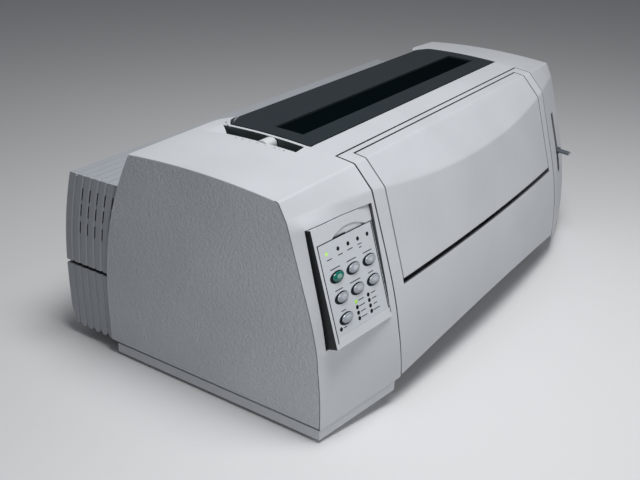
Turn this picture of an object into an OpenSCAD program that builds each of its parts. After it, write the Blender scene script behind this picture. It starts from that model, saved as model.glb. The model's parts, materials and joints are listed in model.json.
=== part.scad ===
// Wide-carriage dot matrix printer: casing, covers, paper feed, carriage and operator panel.
// X runs along the platen, the front faces -Y and +Z is up. The model is drawn on a datum at
// the lower front edge of the side panels and on the symmetry plane, then place() sets its
// origin on the desk, under the middle of its outline.

/* [Body] */
// Width over the two side panels
body_w = 590; // [580:2:620]
// Height of the crown above the underside of the base pan
body_top = 237; // [235:0.5:245]
// Height of the seam between base pan and casing
seam_z = 10.4; // [9:0.2:12]
// Wall of the upper casing
casing_wall = 3; // [2.8:0.1:3.4]
// Wall of the covers and doors
cover_wall = 2.6; // [2.2:0.1:2.7]
// How far the middle of the front stands out before the side panels
front_bow = 34; // [30:1:38]
// How far the columns have come forward where they meet the front cover
column_sweep = 25; // [22:1:27]
// Width of each column, between the front cover and the side panel
column_w = 95; // [92:0.5:97]
// Gap at the seams between covers
seam_gap = 0.7; // [0.5:0.1:1]
// Height of the rubber feet
foot_h = 3; // [2:0.5:5]
// Radius of a rubber foot
foot_r = 8; // [6:0.5:10]

/* [Front cover and door] */
// How much narrower each side of the cover is at its bottom edge
cover_taper = 5; // [3:0.5:7]
// Height of the cover's bottom edge at its ends
cover_low = 25; // [22:1:30]
// Height of the cover's arched bottom edge in the middle
cover_arch = 40; // [36:1:44]
// Depth of the cover's top seam, from the datum
cover_back = 49.7; // [48:0.5:52]
// Width of the front cover's legs beside the door
cover_leg = 19; // [17:0.5:22]
// Height of the door's bottom edge
door_low = 119; // [114:1:124]
// Height of the finger gap under the door
door_gap = 5; // [4:0.5:7]
// Depth of the door's hinge axis, from the datum
door_hinge_y = 39.9; // [38:0.2:41]
// Radius of the door's hinge barrel
barrel_r = 3; // [2.6:0.1:3.2]
// Radius of the moulded hinge pins
hinge_pin_r = 1.5; // [1.2:0.1:1.8]

/* [Ribbon lid] */
// How much further than the front cover the lid reaches, each side
lid_wider = 0.6; // [0:0.2:2]
// Depth of the lid's front edge
lid_front = 78.9; // [76:0.5:82]
// Depth of the lid's rear edge
lid_back = 181; // [179:0.5:183]
// Chamfer of the lid's rear corners, across
lid_chamfer_x = 24.6; // [20:0.5:28]
// Chamfer of the lid's rear corners, front to back
lid_chamfer_y = 11; // [8:0.5:13]
// Width of the lid's frame at each end of the window
lid_rim = 18.6; // [15:0.2:24]
// Depth of the window's front edge
window_front = 99.8; // [97:0.5:103]
// Depth of the window's rear edge
window_back = 132.7; // [128:0.5:138]
// Distance of the lid's hinge axis before its rear edge
lid_hinge_in = 17.5; // [17:0.5:19]

/* [Rear covers] */
// Inset of the rear covers from the side panels
rear_inset = 4; // [3.6:0.2:6]
// Height of the tractor cover's top
rear_top = 186.5; // [184:0.5:190]
// Depth of the rear face, from the datum
rear_y = 322; // [318:1:330]
// Radius of the rear face's curve
rear_r = 390; // [380:5:420]
// Middle of the seam between the two rear covers
rear_seam = 84; // [82:0.5:88]
// Height of that seam
rear_seam_h = 4; // [3.6:0.2:5]
// Pitch of the ribs on the rear covers
rib_pitch = 10.4; // [10:0.1:11]
// Width of the grooves between the ribs
groove_w = 2.6; // [2:0.2:3.2]
// Depth of the grooves
groove_d = 1.2; // [0.8:0.1:1.4]
// Height of the paper inlet
inlet_h = 14; // [10:1:18]

/* [Carriage bay] */
// Distance of the side frames from the side panels
bay_in = 79; // [78:0.5:81]
// Sheet of the side frames
frame_t = 1.6; // [1.2:0.1:2]
// Radius of the platen
platen_r = 15; // [14:0.2:15.4]
// Radius of the platen shaft
platen_shaft_r = 4; // [3.5:0.1:4.5]
// How far the platen knob stands out of the side panel
knob_out = 18; // [14:1:24]
// Radius of the platen knob
knob_r = 17; // [14:1:20]
// Radius of the carriage's guide shaft
guide_r = 6; // [5:0.1:6.5]
// Half width of the ribbon cartridge
cartridge_half = 56; // [50:1:60]
// Play between a shaft and its bore, on the radius
shaft_play = 0.05; // [0.03:0.01:0.08]
// Radius of the belt on its pulleys
pulley_r = 7; // [6:0.1:8]
// Gear module
gear_m = 1.5; // [1.4:0.02:1.52]
// Width of the gears
gear_w = 8; // [6:0.5:9]
// Teeth of the platen gear
platen_teeth = 28; // [28:2:30]
// Teeth of the idler gear
idler_teeth = 32; // [30:2:32]
// Teeth of the tractor gear
tractor_teeth = 24; // [22:2:26]
// Teeth of the motor pinion
pinion_teeth = 16; // [16:1:18]

/* [Paper tractors] */
// Distance of each tractor from the middle
tractor_x = 150; // [120:5:155]
// Outer width of a tractor
tractor_w = 16; // [15:0.5:18]
// Radius of a sprocket, without its pins
sprocket_r = 13; // [12:0.2:13.4]
// Side of the square drive shaft
square_w = 7; // [6:0.2:7.4]
// Radius of the rod that the tractors slide on
rod_r = 4; // [3:0.1:4.5]

/* [Operator panel] */
// Width of the panel housing
panel_w = 78; // [76:0.5:80]
// Height of the panel housing
panel_h = 106; // [103:0.5:108]
// Key size across
key_w = 15.5; // [14:0.5:17]
// Key size up the panel
key_h = 9.4; // [8:0.2:11]
// How far a key stands out
key_out = 2.6; // [2:0.2:3.2]
// Key travel
key_travel = 1.5; // [1:0.1:1.6]
// Radius of a lamp
lamp_r = 1.9; // [1.5:0.1:2.2]

/* [Levers] */
// Reach of the paper lever from its pivot
paper_lever_l = 63; // [58:1:68]
// Width of the paper lever's blade
paper_lever_w = 8; // [6:0.5:10]
// Height of the gap lever's knob above its pivot
gap_lever_l = 73; // [71:0.5:75]

/* [Hidden] */

$fn = 48;
eps = 0.01;              // overlap that makes a cut run clean through
half_w = body_w / 2;
cover_half = half_w - column_w;
door_half = cover_half - cover_leg;
lid_half = cover_half + lid_wider;
window_half = lid_half - lid_rim;
bay_half = half_w - bay_in;
far = 600;               // longer than the body, for cutting blocks

// --- outer form -------------------------------------------------------------------------
arc_z0 = 25;             // the front's curve starts here
arc_z1 = 130;            // and ends here
arc_r = 376;
front_lean = 0.29;       // slope of the front above the curve
crease_y = 31;           // depth of the crease across the front of the top
crease_slope = 1.094;    // steepness of the face below that crease
crown_y = 150;           // depth of the crown's highest line
crown_r = 730;
side_front = [44.3, 218.9];  // upper front corner of a side panel
side_back = [213.8, 223.8];  // upper rear corner of a side panel
side_rise = 4.4;         // how far the side panel's top edge bows up
side_kink_z = 203;
panel_back_y = 260;      // rear edge of the side panels, near the base
panel_back_r = 350;
panel_back_z = 50;       // the rear edge curves forward above this
under = -20;             // the form runs down past the base pan, and is cut there

function arc_y(z, r) = r - sqrt(r * r - z * z);
function front_y(z) = z < arc_z0 ? 0
    : z < arc_z1 ? arc_y(z - arc_z0, arc_r)
    : arc_y(arc_z1 - arc_z0, arc_r) + front_lean * (z - arc_z1);
function bow(x) = abs(x) > cover_half
    ? column_sweep * (half_w - abs(x)) / (half_w - cover_half)
    : front_bow - (front_bow - column_sweep) * pow(x / cover_half, 2);
function crown_z(y) = body_top - pow(y - crown_y, 2) / (2 * crown_r);
function panel_back(z) = panel_back_y - (z > panel_back_z ? arc_y(z - panel_back_z, panel_back_r) : 0);
function kink_z(x) = (crease_y - crown_z(crease_y) / crease_slope - front_y(arc_z1)
    + front_lean * arc_z1 + bow(x)) / (front_lean - 1 / crease_slope);

front_zs = [under, arc_z0, cover_arch, 62, 84, 107, arc_z1];
crown_ys = [crease_y, 55, 80, 105, 130, crown_y, 170, 190, 207];
back_zs = [205, 170, 130, 90, panel_back_z, under];

// section of the form across X, as points in (Y, Z)
function middle_section(x) = concat(
    [for (z = concat(front_zs, [kink_z(x)])) [front_y(z) - bow(x), z]],
    [for (y = crown_ys) [y, crown_z(y)]],
    [for (z = back_zs) [panel_back(z), z]]);
function side_section() = concat(
    [for (z = concat(front_zs, [side_kink_z])) [front_y(z), z]],
    [for (t = [0 : 0.125 : 1]) side_front * (1 - t) + side_back * t + [0, 4 * side_rise * t * (1 - t)]],
    [for (z = back_zs) [panel_back(z), z]]);

// lays a (Y, Z) outline across X, from x0 to x1
module across(x0, x1) translate([x0, 0, 0]) rotate([90, 0, 90]) linear_extrude(x1 - x0) children();
// lays an (X, Z) outline through the front, from y0 to y1
module through(y0, y1) translate([0, y1, 0]) rotate([90, 0, 0]) linear_extrude(y1 - y0) children();

// an outline moved inwards by d, corner by corner
function unit(v) = v / norm(v);
function inset(p, d) = [for (i = [0 : len(p) - 1])
    let (a = unit(p[i] - p[(i + len(p) - 1) % len(p)]), b = unit(p[(i + 1) % len(p)] - p[i]),
        n = [a[1] + b[1], -a[0] - b[0]])
    p[i] + d * n * 2 / (n * n)];

// the outer form, or the same form moved inwards by d
bow_steps = [-1, -0.75, -0.5, -0.25, 0, 0.25, 0.5, 0.75, 1];
module form(d = 0) {
    xs = concat([-half_w + d], bow_steps * cover_half, [half_w - d]);
    sections = [for (x = xs) inset(abs(x) > cover_half ? side_section() : middle_section(x), d)];
    n = len(sections[0]);
    last = len(xs) - 1;
    polyhedron(
        [for (i = [0 : last], p = sections[i]) [xs[i], p[0], p[1]]],
        concat([[for (k = [0 : n - 1]) n - 1 - k]], [[for (k = [0 : n - 1]) last * n + k]],
            [for (i = [0 : last - 1], k = [0 : n - 1], half = [0, 1])
                let (a = i * n + k, b = i * n + (k + 1) % n)
                    half == 0 ? [a, b, a + n] : [a + n, b, b + n]]));
}
module above(z) translate([-far, -far, z]) cube([2 * far, 2 * far, far]);
module below(z) translate([-far, -far, z - far]) cube([2 * far, 2 * far, far]);

// --- front cover and door ----------------------------------------------------------------
// the cover's side, as distances in from its widest and heights
cover_flank = [[cover_taper, under - 1], [cover_taper, cover_low], [2, 80], [1.5, 150], [0, 206], [0, 300]];
function cover_side(g) = [for (p = cover_flank) [cover_half - p[0] + g, p[1]]];
function mirror_x(p) = [for (i = [len(p) - 1 : -1 : 0]) [-p[i][0], p[i][1]]];
module cover_outline(g = 0) polygon(concat(cover_side(g), mirror_x(cover_side(g))));
function arch_z(x, low, high) = low + (high - low) * (1 - pow(x / cover_half, 2));
module under_arch(low, high) polygon(concat(
    [for (i = [-8 : 8]) [i * cover_half / 8, arch_z(i * cover_half / 8, low, high)]],
    [[cover_half, low], [far, low], [far, under * 5], [-far, under * 5], [-far, low]]));
door_rise = 3;           // how much the door's bottom edge arches up
door_hinge = [door_hinge_y, crown_z(door_hinge_y) - barrel_r];
door_end = door_half + seam_gap;
lug_w = 5;

// --- ribbon lid --------------------------------------------------------------------------
lid_hinge = [lid_back - lid_hinge_in, crown_z(lid_back - lid_hinge_in) - barrel_r];
ear_w = 3.6;
module lid_outline(g = 0) offset(delta = g) polygon([
    [-lid_half, lid_front], [lid_half, lid_front],
    [lid_half, lid_back - lid_chamfer_y], [lid_half - lid_chamfer_x, lid_back],
    [-lid_half + lid_chamfer_x, lid_back], [-lid_half, lid_back - lid_chamfer_y]]);
shoulder = [[lid_half - lid_chamfer_x, lid_back], [lid_half - 10.6, lid_back + 9], [half_w, side_back[0]]];
shoulder_wall = 2.5;
// everything behind the shoulders' rear edge, moved back by g
module behind_shoulders(g = 0, half = far) intersection() {
    polygon([for (p = concat(
        [[half_w * 2, shoulder[2][1] + (shoulder[2][1] - shoulder[1][1])
            * half_w / (shoulder[2][0] - shoulder[1][0])], shoulder[1], shoulder[0]],
        mirror_x([[half_w * 2, shoulder[2][1] + (shoulder[2][1] - shoulder[1][1])
            * half_w / (shoulder[2][0] - shoulder[1][0])], shoulder[1], shoulder[0]]),
        [[-half_w * 2, far], [half_w * 2, far]])) p + [0, p[1] < far ? g : 0]]);
    translate([-half, -far]) square([2 * half, 2 * far]);
}

// --- trench for the gap lever --------------------------------------------------------------
trench_in = 4.8;         // ridge between the lid and the trench
trench_w = 15.6;
trench_x = [-lid_half - trench_in - trench_w, -lid_half - trench_in];
trench_y = [82, 180];
trench_wall = 1.2;

// --- rear covers ---------------------------------------------------------------------------
rear_half = half_w - rear_inset;
rear_z0 = 60;            // the rear face is upright from rear_z1 to here, and curves above it
rear_z1 = 30;            // below this the rear face runs in
rear_low = 10;
rear_tuck = 6;
function rear_face(z) = z > rear_z0 ? rear_y - arc_y(z - rear_z0, rear_r)
    : z > rear_z1 ? rear_y : rear_y - (rear_z1 - z) * tuck_slope;
tuck_slope = 0.3;
rear_zs = [rear_low, rear_z1, rear_z0, 75, 90, 105, 120, 135, 150, 165, rear_top];
function clip_zs(z0, z1) = concat([z0], [for (z = rear_zs) if (z > z0 && z < z1) z], [z1]);
// outline between two heights, running forward to y0 and moved in by d
module rear_outline(z0, z1, d, y0) polygon(concat([for (z = clip_zs(z0, z1)) [rear_face(z) - d, z]],
    [[y0, z1], [y0, z0]]));
rear_hinge_up = 6.5;     // height of the hinge above the seam, so that the cover's corner clears it
rear_hinge = [rear_face(rear_seam) - cover_wall - barrel_r - 1.1, rear_seam + rear_hinge_up];
cover_split = [rear_seam - rear_seam_h / 2, rear_seam + rear_seam_h / 2];
rear_lug_x = half_w - 55;
rib_count = 7;
rib_y0 = 249.5;
function side_back_edge(z) = panel_back(z) - rear_tuck;

// --- mechanism -------------------------------------------------------------------------------
platen_at = [150, 170];
guide_at = [100, 138];
train_a = -25;           // direction of the gear train, from platen to tractors
function pitch_r(t) = gear_m * t / 2;
idler_at = platen_at + (pitch_r(platen_teeth) + pitch_r(idler_teeth)) * [cos(train_a), sin(train_a)];
tractor_at = idler_at + (pitch_r(idler_teeth) + pitch_r(tractor_teeth)) * [cos(train_a), sin(train_a)];
motor_a = train_a - 90;
motor_at = idler_at + (pitch_r(idler_teeth) + pitch_r(pinion_teeth)) * [cos(motor_a), sin(motor_a)];
rod_at = tractor_at - [0, 25];
gear_x = bay_half + frame_t + 3.4;
platen_half = bay_half - 12;
shaft_left = -(bay_half + 6);
knob_x = half_w + 2;
backlash = 0.3;
seat_play = 0.02;        // play of pieces that are pushed on or pressed in

// phase of a gear that meshes with another one lying in direction dir from it
function mesh_phase(t1, phase1, dir, t2) = dir + 180 + (180 - t1 * (phase1 - dir)) / t2;
idler_phase = mesh_phase(platen_teeth, train_a, train_a, idler_teeth);
tractor_phase = mesh_phase(idler_teeth, idler_phase, train_a, tractor_teeth);
pinion_phase = mesh_phase(idler_teeth, idler_phase, motor_a, pinion_teeth);

// involute gear outline, with a tooth centred on its X axis
pressure = 20;
addendum = 0.9;
dedendum = 1.25;
function inv(a) = tan(a) * 180 / PI - a;
function half_tooth(r, rp) = let (rb = rp * cos(pressure), a = r > rb ? acos(rb / r) : 0)
    (PI * gear_m / 2 - backlash / 2) / (2 * rp) * 180 / PI + inv(pressure) - inv(a);
module gear_2d(t, phase) {
    rp = pitch_r(t);
    root = rp - dedendum * gear_m;
    tip = rp + addendum * gear_m;
    rs = [root, max(root + 0.1, rp * cos(pressure)), rp - 0.3 * gear_m, rp, rp + 0.45 * gear_m, tip];
    rotate(phase) polygon([for (i = [0 : t - 1], s = [-1, 1], k = [0 : 5])
        let (r = rs[s < 0 ? k : 5 - k], a = i * 360 / t + s * half_tooth(r, rp)) r * [cos(a), sin(a)]]);
}
module gear(at, t, phase, x, bore = 0) difference() {
    across(x, x + gear_w) translate(at) gear_2d(t, phase);
    if (bore > 0) bar(at, bore, x - 1, x + gear_w + 1);
}
// a box between two values along each axis
module block(x, y, z) translate([x[0], y[0], z[0]]) cube([x[1] - x[0], y[1] - y[0], z[1] - z[0]]);
function span(at, from, to) = [at + from, at + to];
function about(at, half) = [at - half, at + half];
module mirrored() for (s = [0, 1]) mirror([s, 0, 0]) children();
// a round bar across X, about a point in (Y, Z)
module bar(at, r, x0, x1) translate([x0, at[0], at[1]]) rotate([0, 90, 0]) cylinder(r = r, h = x1 - x0);

boss_top = 12;
frame_top = 192;
// side frame outline in (Y, Z)
frame_points = [[62, boss_top], [262, boss_top], [262, 150], [240, 176], [192, 176], [190, frame_top],
    [112, frame_top], [96, 170], [36, 150], [34, 112], [62, 90]];
foot_hole_y = [84, 246];
flange_w = 18;
screw_x = bay_half + 10;
screw_r = 1.9;
floor_t = 3;
base_in = 0.8;           // the base pan stands in from the casing
base_wall = 3;
base_back = 252;
sill_y = -2;             // front wall of the base pan, behind the front cover
sill_half = cover_half + 4;
sill_t = 2.5;
sill_top = 30;
foot_in = 45;
foot_y = [24, 226];
standoff_top = 26;
board_t = 1.6;
board_y = 128;
board_in = 12;           // from the side frames to the nearer board edge
power_at = [board_in - bay_half, board_y];
power_size = [150, 160];
logic_size = [170, 172];
logic_at = [bay_half - board_in - 4 - logic_size[0], board_y];
standoff_in = 10;
standoff_back = 112;
standoff_r = 4;

// --- carriage --------------------------------------------------------------------------------
carriage_half = 32;
carriage_z = [128, 148];
belt_x = bay_half - 20;
belt_y = 81;
belt_t = 1.2;
belt_z = [116.4, 121.6];
bracket_z = 110;
head_tip = platen_at[0] - platen_r - 0.6;

// --- tractors --------------------------------------------------------------------------------
cheek_t = 2.5;
pin_r = 1.9;
pin_tip = 19;
hub_r = 7;
shaft_end_r = square_w / 2 - 0.1;
pins = 8;
door_z = tractor_at[1] + 15.5;
tractor_door_t = 2;
door_axis_out = 3;

// --- operator panel: its own frame has X across, Y up the panel and Z out of it -----------------
panel_at = [-cover_half - 6.6, 8.6, 180.3];
panel_yaw = 6;
panel_tilt = 17.5;
panel_right = 1.4;
panel_top = 15.4;
panel_deep = 22;
panel_skin = 2.5;
overlay_t = 0.5;
overlay_w = 72;
overlay_h = 81.5;
board_z = -12;
key_cols = [-56.5, -34.8, -12.4];
key_rows = [-31.1, -49.8, -68.7];
key_places = [[0, 0], [1, 0], [2, 0], [0, 1], [1, 1], [2, 1], [0, 2]];
function key_at(i) = [key_cols[key_places[i][0]], key_rows[key_places[i][1]]];
lamp_rows = [-60.2, -65.3, -70.5, -75.6];
lamp_cols = [-41.1, -24];
lit = [[-64.1, -9], [lamp_cols[0], lamp_rows[0]]];
dark = concat([for (x = [-49, -35.5, -22.2, -8.7]) [x, -9]], [[-66.4, lamp_rows[3]]],
    [for (i = [1 : 3]) [lamp_cols[0], lamp_rows[i]]], [for (i = [0 : 3]) [lamp_cols[1], lamp_rows[i]]]);
key_play = 0.35;
slot_left = 2.5;         // dark gap beside the housing
module on_panel() translate(panel_at) rotate([0, 0, -panel_yaw]) rotate([90 - panel_tilt, 0, 0]) children();
module ellipse(w, h) polygon([for (i = [0 : 23]) [w / 2 * cos(i * 15), h / 2 * sin(i * 15)]]);

// --- levers ----------------------------------------------------------------------------------
paper_pivot = [45, 125];
paper_lever_x = half_w - 45;
paper_slot_x = [paper_lever_x - 8, paper_lever_x + 8];
paper_slot_z = [92, 166];
gap_pivot = [118, 160];
gap_arm_x = -bay_half - frame_t - 3;
gap_arm_t = 2.4;
stud_r = 3;

// colours
pale = [0.80, 0.82, 0.85];
charcoal = [0.20, 0.22, 0.25];
steel = [0.70, 0.72, 0.74];
black = [0.06, 0.06, 0.07];
bright = [0.8, 0.8, 0.82];
key_grey = [0.6, 0.62, 0.66];
white_plastic = [0.88, 0.88, 0.84];

// the desk and the middle of the outline
function place_offset() = [-knob_out / 2, -(front_y(cover_arch) - front_bow + rear_y) / 2, foot_h];
module place() translate(place_offset()) children();

// === base ======================================================================================
module base_pan() color(pale) place() difference() {
    union() {
        difference() {
            form(base_in);
            intersection() {
                form(base_in + base_wall);
                above(floor_t);
            }
            below(0);
            above(seam_z - 0.4);
            translate([-far, base_back, -1]) cube([2 * far, far, far]);
            centre_front_cut();
        }
        // lip that the casing sits over
        difference() {
            form(casing_wall + 0.3);
            form(casing_wall + 2.1);
            below(floor_t - eps);
            above(18);
            translate([-far, base_back, -1]) cube([2 * far, far, far]);
            centre_front_cut();
        }
        translate([-sill_half, sill_y, 0]) cube([2 * sill_half, sill_t, sill_top]);
        translate([-half_w + 10, base_back - sill_t, 0]) cube([body_w - 20, sill_t, boss_top - 0.4]);
        for (s = [-1, 1], y = foot_hole_y) translate([s * screw_x, y, 0]) cylinder(r = 6, h = boss_top);
        for (b = [[logic_at, logic_size], [power_at, power_size]], x = [standoff_in, b[1][0] - standoff_in],
            y = [standoff_in, standoff_back])
            translate([b[0][0] + x, b[0][1] + y, 0]) cylinder(r = standoff_r, h = standoff_top);
    }
    for (s = [-1, 1], y = foot_hole_y)
        translate([s * screw_x, y, floor_t]) cylinder(r = screw_r + shaft_play, h = far);
}
// the front of the pan stands back between the columns
module centre_front_cut() translate([-sill_half, -far + sill_y, under * 2]) cube([2 * sill_half, far, far]);
module feet() color(black) place()
    for (s = [-1, 1], y = foot_y)
        translate([s * (half_w - foot_in), y, -foot_h]) cylinder(r = foot_r, h = foot_h);

// === casing ======================================================================================
// round bars at both ends of the lid, from past its ears out to past the seam
module lid_pins(r, past_ear, past_seam) for (s = [-1, 1]) mirror([s < 0 ? 1 : 0, 0, 0])
    bar(lid_hinge, r, lid_half - ear_w - past_ear, lid_half + seam_gap + past_seam);
ledge_t = 2.4;           // ledge behind the front cover's edges, and how far it reaches
ledge_out = 4;
ledge_in = 10;
ledge_back = 3;
ledge_under = 4.5;
ledge_low = 20;
trench_deep = 24;
trench_lap = 4;
lid_lug = [3, 6, 5];     // width, half length and drop below the hinge
knob_hole = 2;
module upper_casing() color(pale) place() difference() {
    union() {
        difference() {
            form();
            form(casing_wall);
            through(-far, cover_back + seam_gap) cover_outline(seam_gap);
            translate([0, 0, under]) linear_extrude(far) behind_shoulders(0, half_w - casing_wall);
        }
        // ledge behind the front cover's edges
        intersection() {
            difference() {
                form(cover_wall);
                form(cover_wall + ledge_t);
            }
            difference() {
                block(about(0, cover_half + ledge_out), [-far, cover_back + ledge_back], [ledge_low, far]);
                block(about(0, cover_half - ledge_in), [-far, cover_back - ledge_under], [0, far]);
            }
        }
        // walls of the trench, lid lugs and the shoulders' rear walls
        intersection() {
            form(casing_wall / 2);
            union() {
                for (x = [trench_x[0] - trench_wall, trench_x[1]])
                    block(span(x, 0, trench_wall), [trench_y[0] - trench_lap, trench_y[1] + trench_lap],
                        [body_top - trench_deep, body_top]);
                mirrored() block(span(lid_half + seam_gap, 0, lid_lug[0]), about(lid_hinge[0], lid_lug[1]),
                    [lid_hinge[1] - lid_lug[2], body_top]);
                translate([0, 0, rear_top + 1.5]) linear_extrude(far) difference() {
                    behind_shoulders(-shoulder_wall, half_w - casing_wall / 2);
                    behind_shoulders(0);
                    translate([-shoulder[0][0] - 2, -far]) square([2 * shoulder[0][0] + 4, 2 * far]);
                }
            }
        }
        lid_pins(hinge_pin_r, 0.4, 1);
    }
    below(seam_z);
    difference() {
        translate([0, 0, body_top - 50]) linear_extrude(far) lid_outline(seam_gap);
        lid_pins(hinge_pin_r, 0.4, 1);
    }
    block(trench_x, trench_y, [body_top - 2 * trench_deep, far]);
    block(paper_slot_x, [-far, crease_y], paper_slot_z);
    on_panel() block([panel_right - panel_w - slot_left, panel_right + seam_gap],
        [panel_top - panel_h - seam_gap, panel_top + seam_gap], about(0, 1.5 * panel_deep));
    bar(platen_at, platen_shaft_r + knob_hole, half_w - 3 * casing_wall, half_w + 1);
}

module front_cover() color(pale) place() difference() {
    union() {
        intersection() {
            difference() {
                form();
                form(cover_wall);
            }
            through(-far, cover_back) difference() {
                cover_outline();
                under_arch(cover_low, cover_arch);
            }
        }
        mirrored() {
            bar(door_hinge, barrel_r - 0.1, door_end, door_end + lug_w);
            intersection() {
                block(span(door_end, 0, lug_w), about(door_hinge[0], barrel_r - 0.1),
                    span(door_hinge[1], 0, barrel_r - 0.5));
                form(1);
            }
        }
    }
    through(-far, door_hinge[0] + barrel_r + 0.5) difference() {
        translate([-door_end, 0]) square([2 * door_end, far]);
        under_arch(door_low - door_gap, door_low - door_gap + door_rise);
    }
    mirrored() bar(door_hinge, hinge_pin_r + shaft_play, door_half, door_end + lug_w + 1);
}

module front_door() color(pale) place() {
    intersection() {
        difference() {
            form();
            form(cover_wall);
        }
        through(-far, door_hinge[0]) difference() {
            translate([-door_half, 0]) square([2 * door_half, far]);
            under_arch(door_low, door_low + door_rise);
        }
    }
    bar(door_hinge, barrel_r, -door_half, door_half);
    bar(door_hinge, hinge_pin_r, -door_end - lug_w, door_end + lug_w);
}

module ribbon_lid() color(charcoal) place() difference() {
    union() {
        intersection() {
            difference() {
                form();
                form(cover_wall);
            }
            translate([0, 0, body_top - 20]) linear_extrude(far) difference() {
                lid_outline();
                translate([-window_half, window_front])
                    square([2 * window_half, window_back - window_front]);
            }
        }
        mirrored() bar(lid_hinge, barrel_r, lid_half - ear_w, lid_half);
    }
    lid_pins(hinge_pin_r + shaft_play, 1, 1);
}
window_t = 2;
window_lap = 3;
module lid_window() color(black) place() intersection() {
    difference() {
        form(cover_wall);
        form(cover_wall + window_t);
    }
    block(about(0, window_half + window_lap), [window_front - window_lap, window_back + window_lap],
        [body_top / 2, far]);
}

// === rear covers ==================================================================================
shoulder_clear = 1.5;    // the tractor cover stands this far behind the shoulders
side_zs = [170, 150, 130, 110, 90];
rib_slot_z = [120, 140, 158];  // vents in the grooves of the tractor cover
rib_slot_h = 14;
rib_slot_deep = 5;
rib_reach = 90;          // the grooves run over the top as far in as this from the side panels
knuckle_w = 8;           // hinge knuckles of the tractor cover
knuckle_x = rear_lug_x + 3;
knuckle_web = 3;
post_w = 5.4;            // hinge posts of the rear cover
post_x = rear_lug_x - 3;
post_foot = 12;
post_play = 0.6;
scallop_r = 3;
function groove_y(i) = about(rib_y0 + i * rib_pitch, groove_w / 2);
module rib_grooves(z0, z1) mirrored() for (i = [0 : rib_count - 1])
    block(about(rear_half, groove_d), groove_y(i), [z0, z1]);

module tractor_cover() color(pale) place() difference() {
    union() {
        difference() {
            across(-rear_half, rear_half) rear_outline(cover_split[1], rear_top, 0, platen_at[0]);
            across(-rear_half + cover_wall, rear_half - cover_wall)
                rear_outline(cover_split[1] - 1, rear_top - cover_wall, cover_wall, platen_at[0] - 1);
            // side walls start just inside the casing
            across(-far, far) polygon(concat([[0, 0], [0, rear_top - cover_wall]],
                [for (z = concat([rear_top - cover_wall], side_zs, [0])) [side_back_edge(z), z]]));
            translate([0, 0, rear_top - far / 2]) linear_extrude(far) difference() {
                square(2 * far, center = true);
                behind_shoulders(shoulder_clear);
            }
        }
        mirrored() {
            bar(rear_hinge, barrel_r, knuckle_x, knuckle_x + knuckle_w);
            block(span(knuckle_x, 0, knuckle_w), span(rear_hinge[0], 0, 1.7 * barrel_r),
                about(rear_hinge[1], knuckle_web / 2));
        }
    }
    rib_grooves(0, far);
    mirrored() {
        for (i = [0 : rib_count - 3])
            block([half_w - rib_reach, far], groove_y(i), [rear_top - groove_d, far]);
        for (i = [0 : rib_count - 3], z = rib_slot_z)
            block(about(rear_half, rib_slot_deep), groove_y(i), span(z, 0, rib_slot_h));
        bar(rear_hinge, hinge_pin_r + shaft_play, knuckle_x - 1, knuckle_x + knuckle_w + 1);
        // notch for the rear cover's hinge post
        block(span(post_x, -post_play, post_w + post_play), [rear_hinge[0], far],
            [cover_split[1] - 1, rear_hinge[1] + barrel_r + 0.5]);
    }
}

module rear_cover() color(pale) place() difference() {
    union() {
        difference() {
            across(-rear_half, rear_half) rear_outline(rear_low, cover_split[0], 0, platen_at[0]);
            across(-rear_half + cover_wall, rear_half - cover_wall)
                rear_outline(rear_low - 1, cover_split[0] + 1, cover_wall, platen_at[0] - 1);
            across(-far, far) polygon(concat([[0, 0], [0, cover_split[0] + 1]],
                [for (z = [cover_split[0] + 1, rear_z0, panel_back_z, 0]) [side_back_edge(z), z]]));
        }
        mirrored() {
            bar(rear_hinge, barrel_r, post_x, post_x + post_w);
            block(span(post_x, 0, post_w), span(rear_hinge[0], -barrel_r, barrel_r - 0.5),
                [cover_split[0] - post_foot, rear_hinge[1]]);
            block(span(post_x, 0, post_w),
                [rear_hinge[0] - barrel_r, rear_face(rear_seam) - cover_wall / 2],
                span(cover_split[0], -post_foot, -1));
            bar(rear_hinge, hinge_pin_r, post_x + 1, knuckle_x + knuckle_w);
        }
    }
    rib_grooves(0, far);
    // scalloped lower edge of the sides
    mirrored() for (i = [0 : rib_count - 1])
        bar([rib_y0 + i * rib_pitch, rear_low], scallop_r, rear_half - rib_slot_deep,
            rear_half + rib_slot_deep);
    // paper inlet, power inlet, switch and data connector
    block(about(0, inlet_half), behind_wall, span(paper_inlet_z, 0, inlet_h));
    block(about(inlet_x, inlet_w / 2), behind_wall, span(inlet_z, 0, socket_h));
    block(about(switch_x, switch_w / 2), behind_wall, span(inlet_z, 0, socket_h));
    block(about(plug_x, plug_w / 2), behind_wall, span(plug_z, 0, plug_h));
}
inlet_half = 200;
paper_inlet_z = 62;
inlet_x = -150;
inlet_w = 28;
inlet_z = 32;
socket_h = 21;
switch_x = -180;
switch_w = 14;
plug_x = 120;
plug_w = 58;
plug_z = 31;
plug_h = 14;
socket_play = 0.2;
behind_wall = [rear_y - 2 * socket_h, rear_y + socket_h];

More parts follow.
